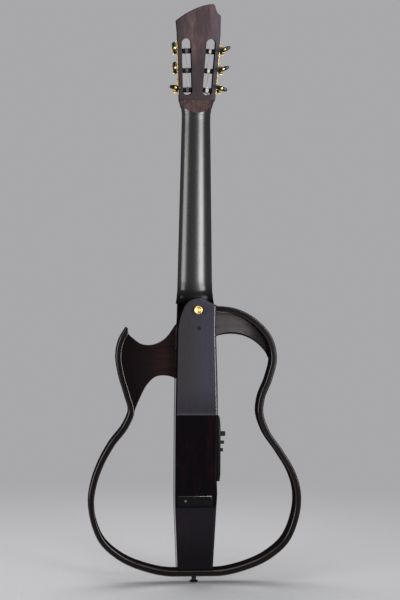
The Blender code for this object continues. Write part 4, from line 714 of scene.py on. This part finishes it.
def makeNeck():
    section = [(1, -1)] + [(math.cos(a), math.sin(a)) for a in np.linspace(0, math.pi, 41)] + [(-1, -1)]
    heights = {row[0] for row in neckTable}
    for low, high, count in neckRuns:
        heights.update(np.linspace(low, high, count))
    bm = carried(section, [moved(0, 0, z) for z in sorted(heights)])
    for vert in bm.verts:
        u, v, z = vert.co.x, vert.co.y, vert.co.z / mm
        width = boardWidth(z) + eased(z, 1)
        depth, square = eased(z, 2), eased(z, 3)
        if v < -0.5:
            vert.co.x, vert.co.y = u * width / 2 * mm, neck["front"] * mm
        else:
            across = math.copysign(abs(u) ** (2 / square), u)
            vert.co.x = across * width / 2 * mm
            rise = depth + neck["front"] - neck["widest"]
            vert.co.y = (neck["widest"] + rise * abs(v) ** (2 / square)) * mm
    finishPiece("neckShaft", bm, "neckWood", ("neck",), sharpest=50)


# Floor, light and background
light = {"background": linear(168, 168, 171), "worldFill": 0.14, "floorFade": 0.35, "floorRadius": 1.5,
         "floorDrop": 0.4}


def makeStage():
    bm = bmesh.new()
    bmesh.ops.create_circle(bm, cap_ends=True, radius=light["floorRadius"] * 2, segments=96)
    mesh = meshOf(bm, "floor")
    at = newFinish("floorPaint")
    grain = noise(at, 180, 3)
    colour = mixed(between(grain, 0.3, 0.7), linear(196, 196, 198), linear(201, 201, 203))
    paint = at.node("BsdfPrincipled", {}, {"Base Color": colour, "Roughness": 0.8, specular: 0.2})
    glow = at.node("Emission", {}, {"Color": light["background"]})
    far = at.node("VectorMath", {"operation": "LENGTH"}, {0: at}, 1)
    distant = between(far, light["floorFade"], light["floorRadius"])
    shader = at.node("MixShader", {}, {0: distant, 1: paint, 2: glow})
    at.node("OutputMaterial", {}, {"Surface": shader})
    mesh.materials.append(finishes["floorPaint"])
    floor = linked("floor", mesh)
    floor.location = (0, 0, cadBox[0].z - light["floorDrop"] * mm)


# name: place, aimed at, width, height, radiance
lamps = {
    "key": ((-0.90, 2.12, 0.6), (0, 0, 0.6), 0.75, 1.15, 11.8),
    "left": ((1.70, 1.51, 0.55), (0, 0, 0.55), 1.2, 1.3, 5.4),
    "overhead": ((0.3, 0.7, 2.5), (0, 0, 0.5), 1.2, 1.2, 2.4),
    "front": ((0.3, -1.6, 2.7), (0, 0, 0.5), 3.2, 2.4, 2.6),
}


def makeLight():
    world = bpy.data.worlds.new("studio")
    scene.world = world
    world.use_nodes = True
    world.node_tree.nodes.clear()
    tree = Wire(world.node_tree)
    seen = tree.node("LightPath") + tree.node("LightPath", output=3)
    seen = seen + tree.node("LightPath", output=6)
    wall = tree.node("Background", {}, {"Color": light["background"]})
    fill = tree.node("Background", {}, {"Color": (1, 1, 1, 1), "Strength": light["worldFill"]})
    shade = tree.node("MixShader", {}, {0: seen, 1: fill, 2: wall})
    tree.node("OutputWorld", {}, {"Surface": shade})
    for name, (place, aim, width, height, radiance) in lamps.items():
        data = bpy.data.lights.new(name, "AREA")
        data.shape = "RECTANGLE"
        data.size = width
        data.size_y = height
        data.energy = radiance * math.pi * width * height
        lamp = linked(name, data)
        lamp.location = place
        lamp.rotation_euler = (Vector(aim) - Vector(place)).to_track_quat("-Z", "Y").to_euler()
        lamp.visible_camera = False


# Head: stock, face veneer and the frames in which the machines stand
head = {"length": 173, "base": 32, "taper": 0.053, "thick": 20, "rim": 1.5, "slotWidth": 16.8, "rail": 7.0,
        "slotLow": 12, "slotHigh": 112.0, "veneer": 1.6, "baseHeight": 849, "seam": 0.22, "tilt": 12}
headPlace = moved(0, neck["front"], head["baseHeight"]) @ turned(-head["tilt"], "X")
sidePlaces = {side: headPlace @ moved(side * head["base"], head["thick"] / 2, 0)
              @ Matrix.Rotation(side * math.atan(head["taper"]), 4, "Y") for side in (1, -1)}


def headOutline():
    length, base = head["length"], head["base"]
    corner, peak, notch = (40.9, length - 31.0), (-24, length), (-38, length - 19.5)
    crest = bezierRun(corner, (22, length - 15), (-2, length - 2.5), peak, steps=32)
    scoop = bezierRun(peak, (-29, length - 1.5), (-27, length - 14.5), notch, steps=18)
    straight = head["slotHigh"] + 8
    rightSide = [(base, -8), (base, 0), (base + head["taper"] * straight, straight)]
    leftSide = [(-x, z) for x, z in reversed(rightSide)]
    return rightSide + crest + scoop[1:] + leftSide


def slotCutters(front, back):
    cutters = []
    radius = head["slotWidth"] / 2
    for side in (1, -1):
        outline = []
        for height, start in ((head["slotHigh"] - radius, 0), (head["slotLow"] + radius, 180)):
            centre = side * (head["base"] + head["taper"] * height - head["rail"] - radius)
            outline += [(centre + radius * math.cos(math.radians(start + 9 * k)),
                         height + radius * math.sin(math.radians(start + 9 * k))) for k in range(21)]
        cutters.append(plank(outline, front, back))
        middle = side * (head["base"] + head["taper"] * head["slotLow"] - head["rail"] - radius)
        cutters.append(bar([(-5, 4), (9, head["slotLow"] + 3), (-5, head["slotLow"] + 6)],
                           middle - radius + 1.5, middle + radius - 1.5))
    return cutters


def cutBelow(bm, height):
    # Takes off what lies under a height and closes the cut
    bmesh.ops.bisect_plane(bm, geom=bm.verts[:] + bm.edges[:] + bm.faces[:], dist=1e-7,
                           plane_co=(0, 0, height * mm), plane_no=(0, 0, 1), clear_inner=True)
    bmesh.ops.holes_fill(bm, edges=[edge for edge in bm.edges if edge.is_boundary], sides=0)


def makeHead():
    thick = head["thick"]
    stock = carve(plank(headOutline(), 0, thick), slotCutters(-10, thick + 20))
    roundEdges(stock, head["rim"], 3, 40)
    cutBelow(placed(stock, headPlace), head["baseHeight"] - head["seam"])
    finishPiece("headBody", stock, "headWood", ("headstock",), sharpest=30, weighted=True)
    skin = carve(plank(headOutline(), -gap - head["veneer"], -gap), slotCutters(-10, thick))
    roundEdges(skin, 0.35, 2, 40)
    cutBelow(placed(skin, headPlace), head["baseHeight"] + gap)
    finishPiece("headFace", skin, "ebony", ("head_veneer",), sharpest=30, weighted=True)


# Fingerboard with its frets, nut, saddle and bridge
board = {"back": -26.3, "top": -32.3, "nut": 844, "scale": 650, "frets": 19, "end": 401.9, "rim": 0.7,
         "fretHalf": 1.2, "fretHeight": 1.1, "nutWidth": 50, "widens": 12}


def boardWidth(z):
    # It widens from the nut to the twelfth fret, which is at half the scale, and on at the same rate
    return board["nutWidth"] + board["widens"] * (board["nut"] - z) / (board["scale"] / 2)


def makeBoard():
    high, low = board["nut"] - gap, board["end"]
    outline = [(side * boardWidth(z) / 2, z) for side, z in ((1, high), (1, low), (-1, low), (-1, high))]
    bm = plank(outline, board["top"], board["back"], board["rim"], 2)
    finishPiece("boardBody", bm, "ebony", ("fingerboard",), weighted=True)
    wires = []
    for number in range(1, board["frets"] + 1):
        z = board["nut"] - board["scale"] * (1 - 2 ** (-number / 12))
        crown = [(board["top"] + 0.2, z + board["fretHalf"])]
        crown += [(board["top"] - board["fretHeight"] * math.sin(a), z + board["fretHalf"] * math.cos(a))
                  for a in np.linspace(0, math.pi, 9)]
        crown.append((board["top"] + 0.2, z - board["fretHalf"]))
        half = boardWidth(z) / 2 - 0.4
        wires.append(bar(crown, -half, half))
    finishPiece("frets", joined(wires), "nickel", sharpest=50)


def longer(limit):
    return lambda edge: edge.calc_length() > limit * mm


def makeBridge():
    for name, node, rim, sharpest, finish in (("bridgeBody", "bridge", 0.5, 30, "ebony"),
                                              ("saddleBone", "saddle", 0.25, 40, "bone"),
                                              ("nutBone", "nut", 0.3, 40, "bone")):
        bm = copied(node)
        roundEdges(bm, rim, 2, sharpest, longer(3))
        finishPiece(name, bm, finish, (node,), weighted=True)


# Strings: tied at the bridge, over saddle and nut, and wound round the rollers
strings = {"diameters": (0.71, 0.82, 1.02, 0.74, 0.89, 1.09), "spreads": (58, 40), "saddle": 194,
           "turns": 4.6, "space": 0.05, "hole": -32.1, "blockTop": -35.3, "blockFront": 183, "blockBack": 170,
           "nutClear": 0.6, "rise": 6.0}
machines = {"low": 20.3, "spacing": 34.4, "wormOffset": 7.7, "centres": 6.8, "roller": 4.7, "gearFace": 9.5,
            "plateFace": 1.5, "plateScrews": (11.8, 41.0, 75.4, 104.2)}


def machineRow(index):
    side = 1 if index < 3 else -1
    return side, machines["low"] + (index if index < 3 else 5 - index) * machines["spacing"]


def stringRoute(index):
    side, height = machineRow(index)
    size = strings["diameters"][index]
    saddleX, nutX = (spread / 2 - spread * index / 5 for spread in strings["spreads"])
    nutDepth = board["top"] - board["fretHeight"] - strings["nutClear"] - size / 2
    saddleDepth = nutDepth - strings["rise"]
    hole, over = strings["hole"], strings["blockTop"] - size / 2 - 0.1
    front, back = strings["blockFront"], strings["blockBack"]
    knot = [(1.3, -32.2, front + 1.9), (1.5, -33.4, front + 2.1), (1.2, over + 0.7, front + 1.6),
            (0.8, over, front + 0.3), (0.5, over, front - 4), (0.2, over, back + 0.6),
            (0.0, over + 0.9, back - 0.9), (0.0, hole - 0.7, back - 1.5), (0.0, hole, back - 0.9)]
    points = [(saddleX + x, y, z) for x, y, z in knot]
    points += [(saddleX, hole, front + 0.4), (saddleX, saddleDepth + 0.25, strings["saddle"] - 1.0),
               (saddleX, saddleDepth - 0.02, strings["saddle"]),
               (saddleX, saddleDepth - 0.02, strings["saddle"] + 1.5),
               (nutX, nutDepth, board["nut"] - 0.5), (nutX, nutDepth, board["nut"] + 5.3)]
    points = [Vector(point) * mm for point in points]
    radius = machines["roller"] + gap + size / 2
    middle = head["rail"] + head["slotWidth"] / 2
    for turn in np.linspace(0, 2 * math.pi * strings["turns"], 128):
        turnsLeft = strings["turns"] / 2 - turn / 2 / math.pi
        across = side * ((size + strings["space"]) * turnsLeft - middle)
        local = Vector((across, -radius * math.cos(turn), height + radius * math.sin(turn))) * mm
        points.append(sidePlaces[side] @ local)
    return points


def makeStrings():
    for index in range(6):
        curve = bpy.data.curves.new("temporary", "CURVE")
        curve.dimensions = "3D"
        curve.bevel_depth = strings["diameters"][index] / 2 * mm
        curve.bevel_resolution = 3
        curve.use_fill_caps = True
        route = stringRoute(index)
        spline = curve.splines.new("POLY")
        spline.points.add(len(route) - 1)
        for knot, point in zip(spline.points, route):
            knot.co = (*point, 1.0)
        rope = bpy.data.objects.new("temporary", curve)
        bm = bmesh.new()
        bm.from_mesh(bpy.data.meshes.new_from_object(rope))
        bpy.data.objects.remove(rope)
        bmesh.ops.remove_doubles(bm, verts=bm.verts, dist=1e-7)
        finish, slot = ("nylon", "nylon") if index < 3 else ("woundString", "wound_silver")
        finishPiece(f"string{index + 1}", bm, finish, (f"string_{index + 1}",), sharpest=60)


# Tuning machines: rollers, buttons with their end screws, wheel screws and plates
button = {"angles": (12, 86, 82, -28, -25, 14), "screw": 2.3, "screwHigh": 1.1, "square": 2.7,
          "stretch": (1.07, 1.14),
          "sections": [(18.5, 2.7, 2.7), (18.9, 3.1, 3.1), (20.4, 3.15, 3.15), (21.2, 4.6, 3.25),
                       (22.0, 7.4, 3.35), (23.2, 9.3, 3.5), (24.6, 10.05, 3.6), (26.6, 10.25, 3.6),
                       (28.0, 9.95, 3.5), (29.0, 9.2, 3.15), (29.5, 7.6, 2.4)]}


def screwHead(radius, high):
    # A domed head standing on the XY plane, with one slot
    dome = [(-0.6, 0), (-0.6, radius), (high * 0.35, radius), (high * 0.75, radius * 0.86),
            (high, radius * 0.5), (high * 1.05, 0)]
    reach, wide = radius * 1.3, radius * 0.13
    groove = box((-reach, -wide, high * 0.45), (reach, wide, 5))
    return carve(lathe(dome, 28), [placed(groove, turned(24, "Z"))])


def makeMachines():
    outwards = {side: turned(90 * side, "Y") for side in (1, -1)}
    barrel = [(5.6, 0), (5.6, 3.1), (-8.1, 3.1), (-8.1, 4.5), (-8.3, 4.7), (-22.3, 4.7), (-22.5, 4.5),
              (-22.5, 2.4), (-28.0, 2.4), (-28.0, 0)]
    for index, angle in enumerate(button["angles"]):
        side, height = machineRow(index)
        at = sidePlaces[side] @ moved(0, 0, height)
        roller = f"roller_{index + 1}"
        finishPiece(f"barrel{index + 1}", lathe(barrel, 36), "blackPlastic", (roller,),
                    at @ outwards[side], body=roller)
        finishPiece(f"wheelScrew{index + 1}", screwHead(2.4, 1.2), "gold", (),
                    at @ outwards[side] @ moved(0, 0, machines["gearFace"]), body=roller)
        at = at @ moved(side * machines["wormOffset"], 0, machines["centres"]) @ turned(-90, "X")
        makeButton(index + 1, at @ turned(-angle, "Z"))
    for side, name in ((1, "treble"), (-1, "bass")):
        bm = copied("tuner_plate_" + name)
        roundEdges(bm, 0.3, 2, 50, longer(1.5))
        finishPiece(name + "Plate", bm, "gold", ("tuner_plate_" + name,), weighted=True)
        rise = side * machines["plateFace"]
        screws = [placed(screwHead(2.1, 0.9), sidePlaces[side] @ moved(rise, 0, height) @ outwards[side])
                  for height in machines["plateScrews"]]
        finishPiece(name + "PlateScrews", joined(screws), "gold")


def makeButton(number, at):
    knob, start, end = f"knob_{number}", button["sections"][0][0], button["sections"][-1][0]
    circle = [tuple(math.copysign(abs(c) ** (2 / button["square"]), c) for c in (math.cos(a), math.sin(a)))
              for a in np.linspace(0, 2 * math.pi, 36, endpoint=False)]
    widen, deepen = button["stretch"]
    stations = [moved(0, 0, place) @ Matrix.Diagonal((long * widen * mm, short * deepen * mm, 1, 1))
                for place, long, short in button["sections"]]
    obj = finishPiece(f"button{number}", carried(circle, stations), "glossBlack",
                      (f"tuner_knob_{number}",), at, 70, body=knob)
    smooth = obj.modifiers.new("round", "SUBSURF")
    smooth.levels = smooth.render_levels = 1
    screw = screwHead(button["screw"], button["screwHigh"])
    finishPiece(f"buttonScrew{number}", screw, "gold", (), at @ moved(0, 0, end), body=knob)
    ferrule = [(start - 2.2, 0), (start - 2.2, 2.3), (start - 1.8, 2.7), (start - 0.7, 2.7),
               (start - 0.3, 2.4), (start + 0.2, 2.4), (start + 0.2, 0)]
    finishPiece(f"ferrule{number}", lathe(ferrule, 28), "gold", (), at, body=knob)


# Side panel with its knobs, button and sockets
panel = {"face": -45, "inset": 1.5, "depth": -2, "rim": 0.8, "jackLength": 21, "ridges": 22,
         "volume": (252, 4.7, 9.5), "tone": (236.5, 3.3, 7.5), "effect": (223, 3.2, 5.9),
         "output": (203, 3.3), "phones": (184, 1.8)}


def controlPlace(height):
    return moved(panel["face"], panel["depth"], height) @ turned(-90, "Y")


def turnedPiece(name, profile, finish, replaced, at, steps=48, ridges=0, body="guitar"):
    bm = lathe(profile, steps)
    if ridges:
        widest = max(r for p, r in profile)
        for vert in bm.verts:
            out = math.hypot(vert.co.x, vert.co.y)
            if out > widest * 0.93 * mm:
                wave = 0.5 - 0.5 * math.cos(ridges * math.atan2(vert.co.y, vert.co.x))
                bmesh.ops.scale(bm, vec=(1 - 0.06 * wave, 1 - 0.06 * wave, 1), verts=[vert])
    finishPiece(name, bm, finish, replaced, at, 40, body=body)


def makeControls():
    bm = copied("control_panel")
    outer = [vert for vert in bm.verts if vert.co.x < (panel["face"] - 0.1) * mm]
    bmesh.ops.translate(bm, vec=(panel["inset"] * mm, 0, 0), verts=outer)
    roundEdges(bm, panel["rim"], 3, 50, longer(5))
    finishPiece("panelBody", bm, "blackPlastic", ("control_panel",), sharpest=30,
                weighted=True)
    for name in ("volume", "tone"):
        height, radius, proud = panel[name]
        profile = [(-15.5, 0), (-15.5, 2), (0.3, 2), (0.3, radius * 0.97), (0.6, radius), (1.4, radius),
                   (1.6, radius * 0.95), (proud - 1.2, radius * 0.94), (proud - 0.5, radius * 0.90),
                   (proud - 0.1, radius * 0.78), (proud, radius * 0.66), (proud - 0.25, radius * 0.55),
                   (proud - 0.25, 0)]
        turnedPiece(name + "Knob", profile, "softBlack", (name + "_knob",),
                    controlPlace(height), 88, panel["ridges"], name)
    height, radius, proud = panel["effect"]
    profile = [(-11, 0), (-11, 2), (-4.2, 2), (-4.2, radius), (proud - 0.7, radius),
               (proud - 0.25, radius * 0.93), (proud - 0.05, radius * 0.78), (proud, radius * 0.4),
               (proud, 0)]
    turnedPiece("effectCap", profile, "softBlack", ("effect_button",), controlPlace(height),
                body="effect")
    for name in ("output", "phones"):
        height, bore = panel[name]
        sleeve, flange, length = bore + 1.6, bore + 3.4, panel["jackLength"]
        profile = [(-length + 2, 0), (-length + 2, bore), (-0.5, bore), (-0.1, bore + 0.4),
                   (-0.1, bore + 1.0), (-0.5, bore + 1.3), (-0.5, bore + 1.7), (-0.05, bore + 2.0),
                   (0, flange - 0.4), (-0.4, flange), (-1.3, flange), (-1.3, sleeve), (-length, sleeve),
                   (-length, 0)]
        turnedPiece(name + "Socket", profile, "nickel", (name + "_jack",), controlPlace(height))


# Battery drawer: gloss front with a lip along its top edge and a small round catch
drawer = {"half": 30.5, "high": 143.2, "face": 12, "lip": 1.4, "catch": (16.8, 133.2, 2.4)}


def makeDrawer():
    bm = copied("battery_drawer")
    half, face, high, lip = drawer["half"] - 1.2, drawer["face"], drawer["high"], drawer["lip"]
    roundEdges(bm, 0.9, 3, 50, lambda edge: all(vert.co.y > (face - 0.1) * mm for vert in edge.verts))
    profile = [(face - 0.5, high - 2.3), (face + lip * 0.7, high - 2.2), (face + lip, high - 1.9),
               (face + lip, high - 1.5), (face + lip * 0.6, high - 1.2), (face - 0.5, high - 1.1)]
    rail = bar(profile, -half, half)
    roundEdges(rail, 0.15, 2, 20)
    x, z, radius = drawer["catch"]
    ring = lathe([(-0.8, 0), (-0.8, radius), (0.5, radius), (0.9, radius * 0.86), (0.9, radius * 0.7),
                  (0.35, radius * 0.45), (0.25, 0)], 32)
    placed(ring, moved(x, face, z) @ turned(-90, "X"))
    finishPiece("drawerBody", bm, "glossBlack", ("battery_drawer",), sharpest=30,
                weighted=True, body="tray")
    finishPiece("drawerTrim", joined([rail, ring]), "darkNickel", sharpest=30, body="tray")


# Strap button, end pin and neck bolt
fittings = {"buttonX": -0.7, "buttonZ": 473.04, "boltX": -3, "boltZ": 441.04, "pinY": -2}


def makeFittings():
    backwards = turned(-90, "X")
    at = moved(fittings["buttonX"], 0, fittings["buttonZ"]) @ backwards
    profile = [(18, 0), (18, 2.2), (30.3, 2.2), (30.3, 6.3), (30.6, 6.6), (31.2, 6.3), (32.0, 5.2),
               (33.2, 4.2), (34.6, 3.9), (35.6, 4.3), (36.4, 5.4), (36.9, 6.7), (37.5, 7.35), (38.2, 7.5),
               (38.8, 7.3), (39.2, 6.7), (39.25, 5.9), (39.0, 5.0), (38.7, 4.4), (38.5, 3.7), (38.4, 0)]
    turnedPiece("strapButton", profile, "gold", ("strap_button",), at)
    profile = [(-0.4, 0), (-0.4, 3.2), (0.3, 3.2), (0.6, 2.8), (0.8, 2.0), (0.8, 1.1), (0.5, 0.8), (0.4, 0)]
    finishPiece("strapScrew", lathe(profile, 36), "gold", (), at @ moved(0, 0, 38.4))
    profile = [(19, 0), (19, 1.8), (27, 1.8), (27, 3.15), (29.2, 3.15), (29.6, 2.9), (29.7, 2.4), (29.7, 0)]
    socket = lathe([(27.6, 0), (27.6, 1.75), (31, 1.75), (31, 0)], 6)
    at = moved(fittings["boltX"], 0, fittings["boltZ"]) @ backwards
    bolt = carve(lathe(profile, 36), [socket])
    finishPiece("neckBolt", bolt, "boltPaintedSheen", ("neck_bolt",), at)
    at = moved(0, fittings["pinY"], 0)
    profile = [(-13, 0), (-13, 5.2), (-12.8, 6.1), (-12.3, 7.0), (-11.6, 7.4), (-10.9, 7.5), (-10.3, 7.2),
               (-9.6, 6.0), (-8.8, 4.7), (-7.6, 4.1), (-5.0, 3.9), (-3.0, 4.3), (-1.8, 5.3), (-1.3, 6.3),
               (-1.3, 2.2), (22.8, 2.2), (22.8, 0)]
    turnedPiece("endPin", profile, "blackPlastic", ("end_pin",), at)
    profile = [(-1.3, 2.0), (-1.3, 7.0), (-1.0, 7.4), (-0.6, 7.4), (-0.3, 7.1), (-0.3, 2.0)]
    finishPiece("pinWasher", lathe(profile + profile[:1], 48), "gold", (), at)


makeCamera(cameraSettings)
makeStage()
makeLight()
scene.view_settings.view_transform = "Standard"
makeStrips()
makeWings()
makeCore()
makeNeck()
print("body made")
makeHead()
makeBoard()
makeBridge()
makeStrings()
print("neck, head and strings made")
makeMachines()
makeControls()
makeDrawer()
makeFittings()
print("hardware made")

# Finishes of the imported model's own nodes that still show
nodeFinishes = {"piezo_pickup": "softBlack", "circuit_board": "circuitBoard", "battery_bay": "blackPlastic",
                "battery": "batteryCase"}
for number in range(1, 7):
    nodeFinishes[f"gear_{number}"] = "brass"
    nodeFinishes[f"worm_{number}"] = "gold"
for node, finish in nodeFinishes.items():
    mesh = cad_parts[node].data
    mesh.materials.clear()
    mesh.materials.append(finishes[finish])
